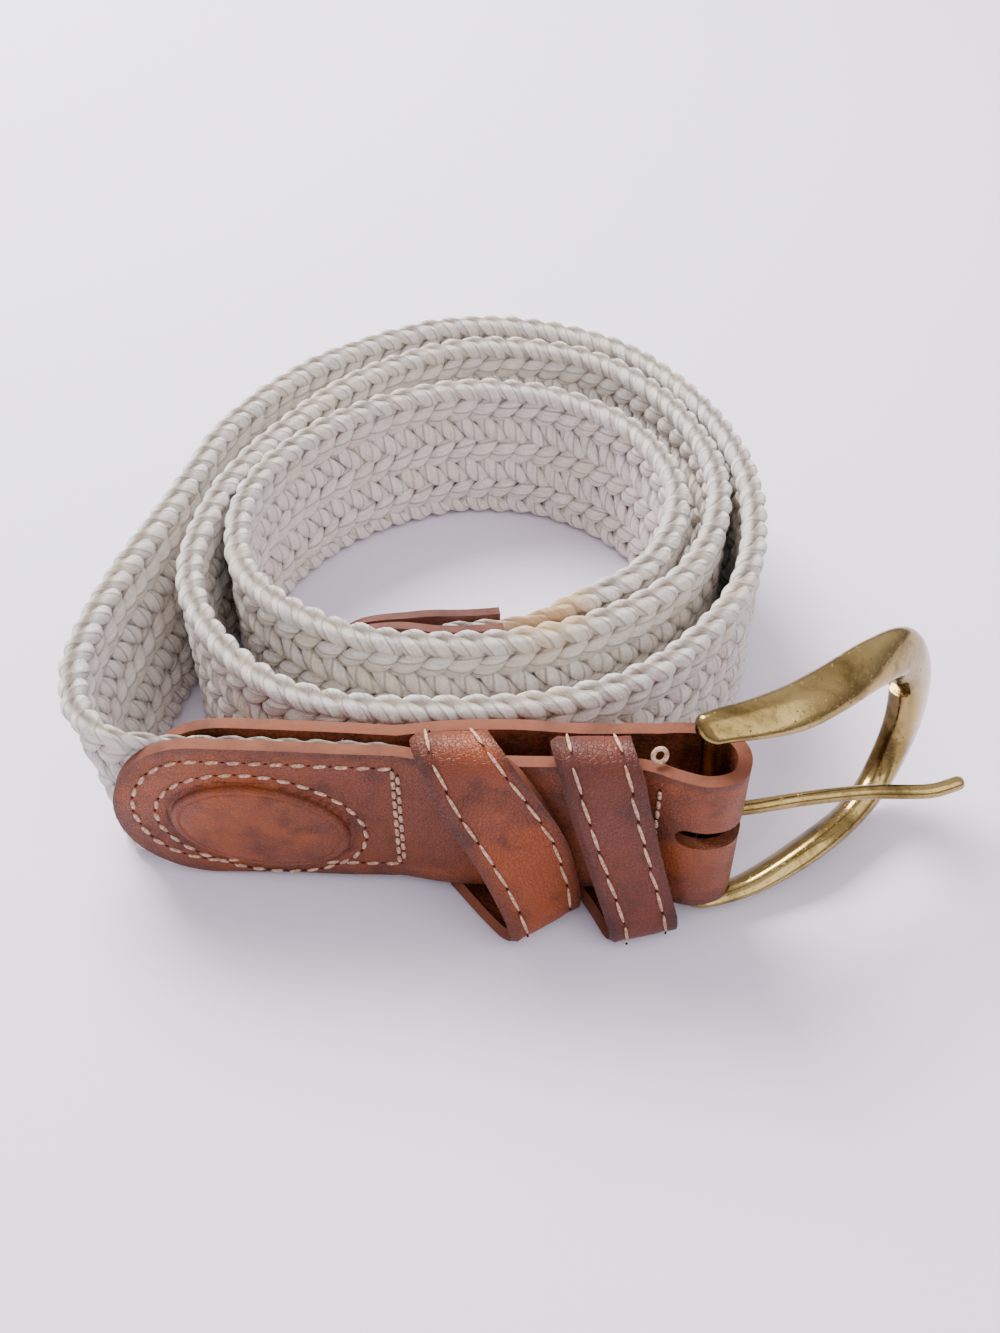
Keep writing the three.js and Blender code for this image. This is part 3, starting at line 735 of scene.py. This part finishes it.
def badgeReach(x, z):
    # 1 on the badge's rim, more outside it
    turn = math.radians(badge["turn"])
    dx, dz = x - badge["x"], z - badge["z"]
    along = dx * math.cos(turn) - dz * math.sin(turn)
    across = dx * math.sin(turn) + dz * math.cos(turn)
    return math.hypot(along / (badge["length"] / 2), across / (badge["height"] / 2))


def tabOutline(s, x):
    half = (tabHigh(x) - tabLow(x)) / 2 * tongueShare(min(s, tabCurve.length - s), tab["tongue"])
    return (tabLow(x) + tabHigh(x)) / 2, half


def tabEdgeDistance(s, x, z):
    middle, half = tabOutline(s, x)
    return min(half - abs(z - middle), min(s, tabCurve.length - s))


def tabDent(s, x, z):
    # leather drawn in along the seams
    dent = sum(depth * hollow(x - barX, width) for barX, depth, width in tab["barDents"])
    if x < tab["stitchedTo"]:
        depth, width = tab["seamDent"]
        dent += depth * hollow(tabEdgeDistance(s, x, z) - tab["seamInset"], width)
    if s < foldAt:
        reach = badgeReach(x, z)
        dent += sum(depth * hollow(reach - place, width) for place, depth, width in badge["dents"])
        dent -= badge["swell"] * (1 - smoothStep(reach, *badge["swellReach"]))
    return dent


def tabPoint(s, z, lift):
    point, along = tabCurve.at(s)
    outward = -up.cross(along).normalized()
    return point + outward * lift + up * z


def tabPiece():
    piece = startGrid("tab_leather", tab["columns"], tab["rows"])
    edges = []

    def place(p, q):
        s = tabStation(p)
        x = tabCurve.at(s)[0].x
        middle, half = tabOutline(s, x)
        z = middle + (q * 2 - 1) * half
        edge = tabEdgeDistance(s, x, z)
        # the groove round the badge counts as an edge here, so the tab is painted darker along it: painted
        # shade in that recess
        if s < foldAt:
            edge = min(edge, abs(badgeReach(x, z) - badge["groove"]) * badge["grooveScale"])
        edges.append(edge)
        return toPart(tabPoint(s, z, -tabDent(s, x, z) / 2))

    shapeGrid(piece, place)
    mark(piece, "edge", edges)
    return piece


def leatherBody(piece, size):
    # thickness with flesh side and cut edge, and rounded corners
    finishWith(piece, "SOLIDIFY", thickness=size["leather"] * mm, offset=0, use_even_offset=True,
               material_offset=2, material_offset_rim=1)
    finishWith(piece, "BEVEL", width=size["rim"] * mm, segments=3, limit_method="ANGLE",
               angle_limit=math.radians(55), loop_slide=False)
    turnOutwards(piece)


def cutSlot(piece):
    half = tab["slotHeight"] / 2
    length = tab["foldX"] - tab["slotLeft"] + 4
    clearSelection()
    bpy.ops.mesh.primitive_cylinder_add(
        vertices=24, radius=half * mm, depth=0.02, rotation=(math.pi / 2, 0, 0))
    cutter = named("slot_cutter")
    settle()
    for vertex in cutter.data.vertices:  # draw the right half out into a long slot
        if vertex.co.x > 0.0001:
            vertex.co.x += length * mm
        vertex.co += toPart((tab["slotLeft"] + half, tab["foldEnd"][1], tab["slotZ"]))
    finishWith(piece, "BOOLEAN", operation="DIFFERENCE", object=cutter, solver="EXACT")
    removePiece(cutter)


leather = tabPiece()
give(leather, tabTan, paleEdge, darkSuede)
leatherBody(leather, tab)
cutSlot(leather)
smoothShade(leather, 35)
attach(leather, "belt")
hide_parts("buckle_tab")
print("tab:", len(leather.data.polygons), "faces")

# stitches

stitch = {
    "border": {"pitch": 3.6, "length": 2.3, "radius": 0.4, "tilt": 8},
    "bar": {"pitch": 2.4, "length": 2.0, "radius": 0.42, "tilt": 4},
    "ring": {"pitch": 3.3, "length": 2.2, "radius": 0.4, "tilt": 8},
    "keeper": {"pitch": 5.6, "length": 4.9, "radius": 0.3, "tilt": 3},
    "tip": {"pitch": 3.6, "length": 2.5, "radius": 0.36, "tilt": 6},
}
needle = {"step": 0.6, "wobble": 3, "flat": 0.8, "lift": 0.08, "hole": (0.42, 0.24, 0.2), "holeLift": 0.02,
          "steepest": -0.5, "seed": 9}


def stitchTemplate():
    clearSelection()
    bpy.ops.mesh.primitive_uv_sphere_add(segments=8, ring_count=7, radius=1, rotation=(0, math.pi / 2, 0))
    piece = named("stitch_template")
    settle()
    for vertex in piece.data.vertices:  # blunt ends and a flat underside
        vertex.co.x = math.copysign(abs(vertex.co.x) ** 0.75, vertex.co.x)
        vertex.co.z = max(vertex.co.z, -0.45)
    return piece


def holeShadeTemplate():
    # a flat dark disc laid on the leather where a needle hole is, painted shade in place of a real hole
    clearSelection()
    bpy.ops.mesh.primitive_uv_sphere_add(segments=8, ring_count=5, radius=1)
    piece = named("hole_shade_template")
    for vertex in piece.data.vertices:
        vertex.co.z *= 0.3
    return piece


stitchShape = stitchTemplate()
holeShadeShape = holeShadeTemplate()
stitchDice = random.Random(needle["seed"])


def walk(points, pitch):
    # evenly spaced centres and directions along a flat path of (x, z) points
    marks = [0.0]
    for (x0, z0), (x1, z1) in zip(points, points[1:]):
        marks.append(marks[-1] + math.hypot(x1 - x0, z1 - z0))
    count = max(1, round(marks[-1] / pitch))
    found = []
    for i in range(count):
        wanted = (i + 0.5) * marks[-1] / count
        j = min(bisect_right(marks, wanted) - 1, len(points) - 2)
        share = (wanted - marks[j]) / (marks[j + 1] - marks[j])
        (x0, z0), (x1, z1) = points[j], points[j + 1]
        size = math.hypot(x1 - x0, z1 - z0)
        found.append((x0 + (x1 - x0) * share, z0 + (z1 - z0) * share, (x1 - x0) / size, (z1 - z0) / size))
    return found


def placed(template, spot, axes, size):
    scale = Matrix.Diagonal([length * mm for length in size] + [1])
    return copyMesh(template, "copy", Matrix.Translation(toPart(spot)) @ axes @ scale)


def sew(spots, kind, surface):
    # spots are (x, z, dx, dz); surface(x, z) gives a point and its outward direction, in millimetres
    size, step, wobble = stitch[kind], needle["step"], needle["wobble"]
    bead = (size["length"] / 2, size["radius"], size["radius"] * needle["flat"])
    threads, holes = [], []
    for x, z, dx, dz in spots:
        here, outward = surface(x, z)
        if outward.z < needle["steepest"]:  # nothing is sewn where the loop rests on the table
            continue
        ahead, _ = surface(x + dx * step, z + dz * step)
        behind, _ = surface(x - dx * step, z - dz * step)
        along = (ahead - behind).normalized()
        side = outward.cross(along).normalized()
        lean = math.radians(size["tilt"] + stitchDice.uniform(-wobble, wobble))
        turned = (along * math.cos(lean) + side * math.sin(lean)).normalized()
        side = outward.cross(turned).normalized()
        axes = Matrix((turned, side, outward)).transposed().to_4x4()
        threads.append(placed(stitchShape, here + outward * needle["lift"], axes, bead))
        # each stitch gets a dark disc half a pitch ahead of it, painted shade for its needle hole
        pricked = here + along * size["pitch"] / 2 + outward * needle["holeLift"]
        holes.append(placed(holeShadeShape, pricked, axes, needle["hole"]))
    return threads, holes


def tabSurface(side):
    def surface(x, z):
        s = tabDistance(side, x)
        point, along = tabCurve.at(s)
        outward = -up.cross(along).normalized()
        return point + outward * (tab["leather"] - tabDent(s, x, z)) / 2 + up * z, outward
    return surface


def borderPath(left, inset):
    centreX, reach = left + tab["tongue"], tab["tongue"] - inset
    low, high = tabLow(centreX), tabHigh(centreX)
    middle, half = (low + high) / 2, (high - low) / 2 - inset
    top = [(x, tabHigh(x) - inset) for x in (-17, -28, -39)]
    bottom = [(x, tabLow(x) + inset) for x in (-39, -28, -17)]
    angles = [math.pi / 2 + math.pi * i / 24 for i in range(25)]
    bend = [(centreX + reach * math.cos(angle), middle + half * math.sin(angle)) for angle in angles]
    return top + bend + bottom


def barPath(x, inset):
    return [(x, tabLow(x) + inset), (x, tabHigh(x) - inset)]


def badgeSpot(along, across):
    turn = math.radians(badge["turn"])
    x = badge["x"] + along * math.cos(turn) + across * math.sin(turn)
    return x, badge["z"] - along * math.sin(turn) + across * math.cos(turn)


def badgeRing(gap):
    wide, high = badge["length"] / 2 + gap, badge["height"] / 2 + gap
    angles = [2 * math.pi * i / 72 for i in range(73)]
    return [badgeSpot(wide * math.cos(angle), high * math.sin(angle)) for angle in angles]


def seamPieces(seams, name):
    threads, holes = [sum(parts, []) for parts in zip(*seams)]
    sewn = joinPieces(threads, name + "_stitches")
    holeShadePieces = joinPieces(holes, name + "_needle_hole_shade")
    for piece, material, slot in ((sewn, thread, "cotton_braid"), (holeShadePieces, needleHoleShade, "tab_leather")):
        smoothShade(piece)
        give(piece, material)
        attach(piece, "belt")
    print(name, "stitches:", len(sewn.data.polygons), "faces")


seams = []
for side, left in (("front", tab["left"]), ("back", tab["backLeft"])):
    rows = [(borderPath(left, tab["seamInset"]), "border")]
    rows += [(barPath(x, inset), "bar") for x, inset in ((-17.5, 3.6), (-16.6, 4.8), (26.0, 3.8))]
    if side == "front":
        rows.append((badgeRing(badge["ringGap"]), "ring"))
    seams += [sew(walk(path, stitch[kind]["pitch"]), kind, tabSurface(side)) for path, kind in rows]
seamPieces(seams, "tab")

threadLoop = {"centre": (25.2, 139.5, 38.4), "radius": 1.15, "thread": 0.4, "tilt": 62, "spin": 0.3}


def threadLoopPiece():
    # the seam's last stitch, left standing as a small ring on the leaf's edge
    clearSelection()
    bpy.ops.mesh.primitive_torus_add(
        major_radius=threadLoop["radius"] * mm, minor_radius=threadLoop["thread"] * mm, major_segments=28,
        minor_segments=10, rotation=(math.radians(threadLoop["tilt"]), 0, threadLoop["spin"]))
    ring = named("seam_thread_loop")
    settle()
    ring.data.transform(Matrix.Translation(toPart(threadLoop["centre"])))
    return ring


loop = threadLoopPiece()
smoothShade(loop)
give(loop, thread)
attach(loop, "belt")

# oval badge, a plain domed oval with a tooled line inside its rim

badgeProfile = [(1.0, -0.6), (1.0, 0.25), (0.985, 0.6), (0.96, 0.82), (0.93, 0.93), (0.905, 0.9),
                (0.89, 0.78), (0.875, 0.9), (0.84, 1.02), (0.72, 1.14), (0.5, 1.24), (0.28, 1.29), (0.1, 1.3)]


def badgePiece():
    clearSelection()
    bpy.ops.mesh.primitive_circle_add(vertices=badge["sides"], radius=1, fill_type="NGON")
    piece = named("badge_leather")
    editAll(piece)
    bpy.ops.transform.translate(value=(0, 0, badgeProfile[0][1]))
    for (size, level), (nextSize, nextLevel) in zip(badgeProfile, badgeProfile[1:]):
        bpy.ops.mesh.extrude_region_move(TRANSFORM_OT_translate={"value": (0, 0, nextLevel - level)})
        ratio = nextSize / size
        bpy.ops.transform.resize(value=(ratio, ratio, 1), center_override=(0, 0, 0))
    bpy.ops.mesh.poke()
    leaveEdit()
    edges = []
    for vertex in piece.data.vertices:
        u, v, level = vertex.co
        edges.append((1 - math.hypot(u, v)) * badge["height"] / 2 + badge["edgeStart"])
        x, z = badgeSpot(u * badge["length"] / 2, v * badge["height"] / 2)
        lift = tab["leather"] / 2 + badge["lift"] + level
        vertex.co = toPart(tabPoint(tabDistance("front", x), z, lift))
    mark(piece, "edge", edges)
    closeUp(piece)
    return piece


oval = badgePiece()
give(oval, tabTan)
smoothShade(oval, 50)
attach(oval, "belt")
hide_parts("oval_badge")
print("badge:", len(oval.data.polygons), "faces")

# keeper loops, bands that run from one rail to another

keepers = {
    "keeper_loop_left": {
        "left": [
            (-13.7, 144.9, 36.4), (-13.9, 142.8, 37.6), (-13.2, 140.6, 36.9), (-12.2, 139.3, 35.3),
            (-9.6, 136.4, 29.5), (-4.2, 133.7, 19.0), (0.3, 130.5, 9.5), (1.8, 129.2, 5.2),
            (2.0, 129.4, 2.4), (0.2, 131.4, 1.0), (-3.6, 136.0, 1.0), (-8.6, 142.8, 1.0),
            (-9.9, 145.0, 2.8), (-11.9, 145.5, 20), (-13.4, 145.4, 33.0)],
        "right": [
            (-2.0, 145.3, 36.6), (-1.6, 143.4, 38.1), (0.4, 140.4, 38.2), (2.4, 138.5, 36.9),
            (6.4, 137.5, 30.5), (10.8, 137.6, 20.0), (12.8, 137.2, 10.5), (13.4, 136.6, 5.8),
            (13.3, 136.6, 2.7), (12.0, 137.9, 1.05), (9.0, 140.2, 1.05), (4.4, 142.2, 1.1),
            (2.9, 144.2, 3.0), (0.4, 144.8, 21), (-1.6, 145.2, 33.5)],
        "skin": keeperTan,
    },
    "keeper_loop_right": {
        "left": [
            (8.6, 143.6, 37.0), (8.6, 141.2, 38.4), (9.2, 138.9, 38.1), (9.8, 137.7, 36.0),
            (11.5, 135.3, 30.0), (15.0, 132.6, 18.0), (17.8, 130.2, 9.0), (18.9, 129.2, 5.2),
            (19.0, 129.6, 2.4), (18.2, 131.6, 1.0), (16.4, 135.6, 1.0), (13.2, 141.6, 1.0),
            (11.9, 143.6, 3.0), (9.9, 144.2, 20), (8.8, 144.0, 34.5)],
        "right": [
            (20.9, 143.1, 37.6), (20.9, 141.0, 39.0), (21.6, 138.4, 38.7), (22.6, 136.5, 36.5),
            (24.0, 134.9, 30.5), (26.9, 133.4, 18.5), (29.2, 132.4, 9.0), (30.0, 132.0, 5.6),
            (30.1, 132.2, 2.6), (29.2, 133.9, 1.05), (27.0, 137.4, 1.05), (24.4, 141.4, 1.1),
            (23.6, 143.2, 3.2), (22.3, 143.4, 21), (21.1, 143.4, 35)],
        "skin": keeperPlum,
    },
}
keeper = {
    "leather": 1.9, "rim": 0.45, "columns": 190, "rows": 14, "seamInset": 2.3, "dent": (0.16, 0.8),
    "chamfer": 0.6, "clear": 0.02,
}
sink = 0.1  # the depth to which the stitches of the thinner leathers are pulled in


def keeperFace(rails, t, v, lift=0):
    # t runs round the loop, v from the left rail to the right one
    (a, slopeA), (b, slopeB) = rails[0].atShare(t % 1), rails[1].atShare(t % 1)
    ruling = b - a
    outward = slopeA.cross(ruling).normalized().lerp(slopeB.cross(ruling).normalized(), v).normalized()
    point = a.lerp(b, v) + outward * lift
    point.z = max(point.z, keeper["clear"] + (keeper["leather"] / 2 if lift == 0 else 0))
    return point, outward, ruling.length


def keeperSeam(rails, side):
    # stitches beside one rail, their places given in hundredths of the loop
    def surface(x, z):
        inset = keeper["seamInset"] / keeperFace(rails, x / 100, 0.5)[2]
        return keeperFace(rails, x / 100, abs(side - inset), keeper["leather"] / 2 - sink)[:2]

    rail = rails[side]
    count = round(rail.length / stitch["keeper"]["pitch"])
    found = [bisect_right(rail.distances, (i + 0.5) * rail.length / count) for i in range(count)]
    return sew([(j / (len(rail.distances) - 1) * 100, 0, 1, 0) for j in found], "keeper", surface)


def keeperPiece(node, shape):
    rails = [SmoothLine(shape[side], closed=True) for side in ("left", "right")]
    piece = startGrid(node + "_leather", keeper["columns"], keeper["rows"])
    edges, shares = [], []

    def place(t, v):
        point, outward, wide = keeperFace(rails, t, v)
        edge = min(v, 1 - v) * wide
        edges.append(edge)
        shares.append(v)
        depth, width = keeper["dent"]
        dent = depth * hollow(edge - keeper["seamInset"], width)
        if v < 0.5:
            dent += keeper["chamfer"] * (1 - smoothStep(v * keeper["rows"], 0, 1))
        return toPart(point - outward * dent)

    shapeGrid(piece, place)
    for polygon in piece.data.polygons:  # the left edge was cut on a slant and shows its pale core
        if max(shares[i] for i in polygon.vertices) < 1.05 / keeper["rows"]:
            polygon.material_index = 1
    mark(piece, "edge", edges)
    weld(piece, 0.00001)
    give(piece, shape["skin"], paleEdge, darkSuede)
    leatherBody(piece, keeper)
    smoothShade(piece, 40)
    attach(piece, "belt")
    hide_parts(node)
    seamPieces([keeperSeam(rails, side) for side in (0, 1)], node)


for node, shape in keepers.items():
    keeperPiece(node, shape)
print("keepers done")

# leather tip, two leaves on the strap's free end


def tipPoint(side, s, z, lift):
    point, along = route.at(s)
    apart = 1 - smoothStep(s, strapEnd + 0.5, strapEnd + tip["closing"])
    offset = side * (strap["endThickness"] / 2 * apart + tab["gap"] + tip["leather"] / 2 + lift)
    return point + up.cross(along).normalized() * offset + up * z


def tipPiece(side, node):
    piece = startGrid(node + "_leather", tip["columns"], tip["rows"])
    edges = []

    def place(p, q):
        s = tipStart + (tipEnd - tipStart) * math.sin(p * math.pi / 2)
        half = tip["width"] / 2 * tongueShare(tipEnd - s, tip["tongue"])
        offCentre = (q * 2 - 1) * half
        edge = min(half - abs(offCentre), tipEnd - s, s - tipStart + 1)
        edges.append(edge)
        depth, width = tip["dent"]
        dent = depth * hollow(edge - tip["seamInset"], width)
        return toPart(tipPoint(side, s, strap["width"] / 2 + offCentre, -dent))

    shapeGrid(piece, place)
    mark(piece, "edge", edges)
    give(piece, tipRose, tipEdge, tipRose)
    leatherBody(piece, tip)
    smoothShade(piece, 40)
    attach(piece, "belt")
    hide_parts(node)


def tipSurface(side):
    def surface(x, z):
        point, along = route.at(x)
        outward = up.cross(along).normalized() * side
        return tipPoint(side, x, z, tip["leather"] / 2 - sink), outward
    return surface


def tipPath():
    inset, turnAt = tip["seamInset"], tipEnd - tip["tongue"]
    middle, half = strap["width"] / 2, tip["width"] / 2 - inset
    reach = tip["tongue"] - inset
    angles = [math.pi * i / 24 for i in range(1, 24)]
    bend = [(turnAt + reach * math.sin(angle), middle + half * math.cos(angle)) for angle in angles]
    top = [(tipStart + 2, middle + half), (turnAt, middle + half)]
    return top + bend + [(turnAt, middle - half), (tipStart + 2, middle - half)]


seams = []
for side, node in ((1, "tip_leaf_outer"), (-1, "tip_leaf_inner")):
    tipPiece(side, node)
    seams.append(sew(walk(tipPath(), stitch["tip"]["pitch"]), "tip", tipSurface(side)))
seamPieces(seams, "tip")

# brass buckle

buckle = {
    "centre": (34.4, 140.6, 22.8), "leanLeft": 3, "leanBack": 5.4, "azimuth": 32,
    "barRadius": 1.8, "barHalf": 19.9,
    "half": [  # out, half, front, width, depth, cut
        (-3.2, 20.3, 0.6, 3.8, 4.4, 0.2), (0, 20.4, 1.6, 4.1, 5.2, 0.5), (7, 19.8, 3.4, 5.2, 6.2, 1),
        (14, 19.0, 4.0, 6.5, 6.7, 1), (22, 18.7, 3.6, 7.1, 6.7, 1), (32, 18.1, 2.3, 7.9, 6.2, 0.8),
        (40.7, 15.0, 0.6, 8.6, 5.6, 0.2), (45.6, 7.6, -0.2, 8.9, 5.2, 0)],
    "tip": (46.9, 0, -0.4, 9.0, 5.2, 0),
    "section": [(-0.5, -0.30), (-0.38, -0.5), (0.36, -0.5), (0.5, -0.34), (0.5, -0.12), (0.36, 0.12),
                (-0.12, 0.5), (-0.3, 0.5), (-0.5, 0.22)],
    "cutSection": [(-0.44, -0.06), (0.02, -0.5)],
    "steps": 260, "sides": 40, "endRound": 28, "endLeast": 0.06,
    "notch": {"low": 6.2, "high": 11.4, "depth": 1.3, "outFrom": 30, "innerSide": -0.2},
    "upperEnd": [(-3.5, 20.3, 0.8, 4.2, 4.6, 0.3), (0, 20.4, 1.7, 4.3, 5.3, 0.6)],
    "lowerEnd": [(-3.2, 20.4, 0.5, 3.6, 4.2, 0.2), (0, 20.6, 1.4, 3.7, 4.9, 0.5), (7, 20.5, 2.9, 4.4, 5.6, 1),
                 (14, 19.7, 3.6, 5.8, 6.3, 1)],
}
prong = {
    "azimuth": 6.3, "radius": 1.25, "clearance": 0.35, "steps": 90, "sides": 20,
    "line": [(4.2, 0), (7.6, 0), (16.2, -0.5), (27.2, -0.3), (37.7, 1.1), (42.6, 0.1)],
}


def barAxes(azimuth):
    turn = math.radians(azimuth)
    left, back = [math.tan(math.radians(buckle[way])) for way in ("leanLeft", "leanBack")]
    along = Vector((-left, back, 1)).normalized()
    level = Vector((math.cos(turn), math.sin(turn), 0))
    out = (level - along * level.dot(along)).normalized()
    return along, out, out.cross(along)


def barPlace(axes, out, along, front):
    return Vector(buckle["centre"]) + axes[1] * out + axes[0] * along + axes[2] * front


def setOnBar(piece, axes):
    turn = Matrix((axes[1], -axes[2], axes[0])).transposed().to_4x4()
    piece.data.transform(Matrix.Translation(toPart(buckle["centre"])) @ turn)


def framePiece():
    axes = barAxes(buckle["azimuth"])
    lower = [(row[0], -row[1]) + row[2:] for row in buckle["lowerEnd"] + buckle["half"][4:]]
    rows = buckle["upperEnd"] + buckle["half"][2:] + [buckle["tip"]] + lower[::-1]
    line = SmoothLine([(out, half, front) for out, half, front, *_ in rows], perSpan=40)
    sizes = SmoothLine([row[3:] for row in rows], perSpan=40)
    notch, section = buckle["notch"], buckle["section"]
    whole, trimmed = [SmoothLine([(x, y, 0) for x, y in corners], closed=True, perSpan=12)
                      for corners in (section, buckle["cutSection"] + section[2:])]
    piece = startGrid("buckle_frame_cast", buckle["steps"], buckle["sides"])

    def place(p, q):
        centre, tangent = line.atShare(p)
        tangent = Vector((tangent.x, tangent.y, 0)).normalized()
        size, _ = sizes.atShare(p)
        near = min(min(p, 1 - p) * buckle["endRound"], 1)
        taper = max(buckle["endLeast"], math.sqrt(max(0, 1 - (1 - near) ** 2)))
        spot = whole.atShare(q)[0].lerp(trimmed.atShare(q)[0], min(max(size.z, 0), 1))
        across, front = spot.x * size.x * taper, spot.y * size.y * taper
        seated = notch["low"] < centre.y < notch["high"] and centre.x > notch["outFrom"]
        if seated and spot.x < notch["innerSide"]:  # seat for the prong's end
            across = max(across, -size.x / 2 + notch["depth"])
        out = centre.x - tangent.y * across
        along = centre.y + tangent.x * across
        return toPart(barPlace(axes, out, along, centre.z + front))

    shapeGrid(piece, place)
    closeUp(piece)
    clearSelection()
    bpy.ops.mesh.primitive_cylinder_add(
        vertices=32, radius=buckle["barRadius"] * mm, depth=buckle["barHalf"] * 2 * mm)
    bar = named("buckle_bar")
    setOnBar(bar, axes)
    return joinPieces([piece, bar], "buckle_frame_cast")


cast = framePiece()
give(cast, brass)
smoothShade(cast, 45)
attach(cast, "buckle")
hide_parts("buckle_frame")


def prongPiece():
    axes = barAxes(prong["azimuth"])
    line = SmoothLine([(out, side, 0) for out, side in prong["line"]], perSpan=20)
    piece = startGrid("buckle_prong_wire", prong["steps"], prong["sides"])

    def place(p, q):
        reach = (line.length + prong["radius"]) * p
        centre, tangent = line.at(min(reach, line.length))
        past = max(0, reach - line.length) / prong["radius"]
        centre = centre + tangent * past * prong["radius"]
        radius = prong["radius"] * math.sqrt(max(0.0004, 1 - past * past))
        side, level = radius * math.cos(2 * math.pi * q), radius * math.sin(2 * math.pi * q)
        return toPart(barPlace(axes, centre.x - tangent.y * side, level, centre.y + tangent.x * side))

    shapeGrid(piece, place)
    closeUp(piece)
    clearSelection()
    ring = buckle["barRadius"] + prong["clearance"] + prong["radius"]
    bpy.ops.mesh.primitive_torus_add(
        major_radius=ring * mm, minor_radius=prong["radius"] * mm, major_segments=48, minor_segments=16)
    eye = named("prong_eye")
    setOnBar(eye, axes)
    return joinPieces([piece, eye], "buckle_prong_wire")


wire = prongPiece()
give(wire, brass)
smoothShade(wire, 60)
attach(wire, "prong")
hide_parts("buckle_prong")
print("buckle done")

for template in (stitchShape, holeShadeShape):
    removePiece(template)

# table, light and camera

studio = {
    "floor": colour(231, 224, 238), "floorCloud": colour(220, 218, 227), "floorSize": 3.0, "floorZ": -0.0002,
    "height": 0.1993, "pitch": 45.3, "lens": 36.46, "sensor": 36, "nearest": 0.005,
    "world": colour(236, 230, 242), "horizon": colour(128, 124, 130), "skyFrom": 0.45, "worldStrength": 1.3,
    "lamps": [  # name, place, aim, size, power, tint
        ("window light", (-0.35, 0.5, 0.7), (0, 0, 0), 0.5, 24.0, (1.0, 0.985, 0.965)),
        ("room light", (0.5, -0.5, 0.7), (0, -0.02, 0), 0.8, 4.0, (0.97, 0.975, 1.0)),
    ],
}


def tableTop():
    clearSelection()
    bpy.ops.mesh.primitive_plane_add(size=studio["floorSize"], location=(0, 0, studio["floorZ"]))
    floor = named("table_top")
    settle()
    r = Recipe("pale table")
    cloud = r.noise(r.places(), 6.0, 3.0)
    shade = r.mix(cloud * 0.25, studio["floor"], studio["floorCloud"])
    give(floor, r.surface(Base_Color=shade, Roughness=0.7, Specular_IOR_Level=0.2))


def areaLight(name, place, aim, size, power, tint):
    clearSelection()
    bpy.ops.object.light_add(type="AREA", location=place)
    lamp = named(name)
    lamp.data.size = size
    lamp.data.energy = power
    lamp.data.color = tint
    lamp.rotation_euler = (Vector(aim) - Vector(place)).to_track_quat("-Z", "Y").to_euler()


def softRoom():
    # light from all round, darker near the horizon
    world = bpy.data.worlds.new("soft room")
    bpy.context.scene.world = world
    world.use_nodes = True
    ground = world.node_tree.nodes["Background"]
    nodes, links = world.node_tree.nodes, world.node_tree.links
    aim, parts = nodes.new("ShaderNodeTexCoord"), nodes.new("ShaderNodeSeparateXYZ")
    sky = nodes.new("ShaderNodeValToRGB")
    low, high = sky.color_ramp.elements
    low.color, high.color = studio["horizon"], studio["world"]
    high.position = studio["skyFrom"]
    links.new(aim.outputs["Generated"], parts.inputs[0])
    links.new(parts.outputs[2], sky.inputs[0])
    links.new(sky.outputs[0], ground.inputs["Color"])
    ground.inputs["Strength"].default_value = studio["worldStrength"]


def photoCamera():
    bpy.ops.object.camera_add()
    camera = named("photo view")
    camera.location = toPart((0, 0, studio["height"] / mm))
    camera.rotation_euler = (math.radians(90 - studio["pitch"]), 0, 0)
    camera.data.sensor_width = studio["sensor"]
    camera.data.lens = studio["lens"]
    camera.data.clip_start = studio["nearest"]
    bpy.context.scene.camera = camera


tableTop()
for lamp in studio["lamps"]:
    areaLight(*lamp)
softRoom()
photoCamera()
print("scene ready")
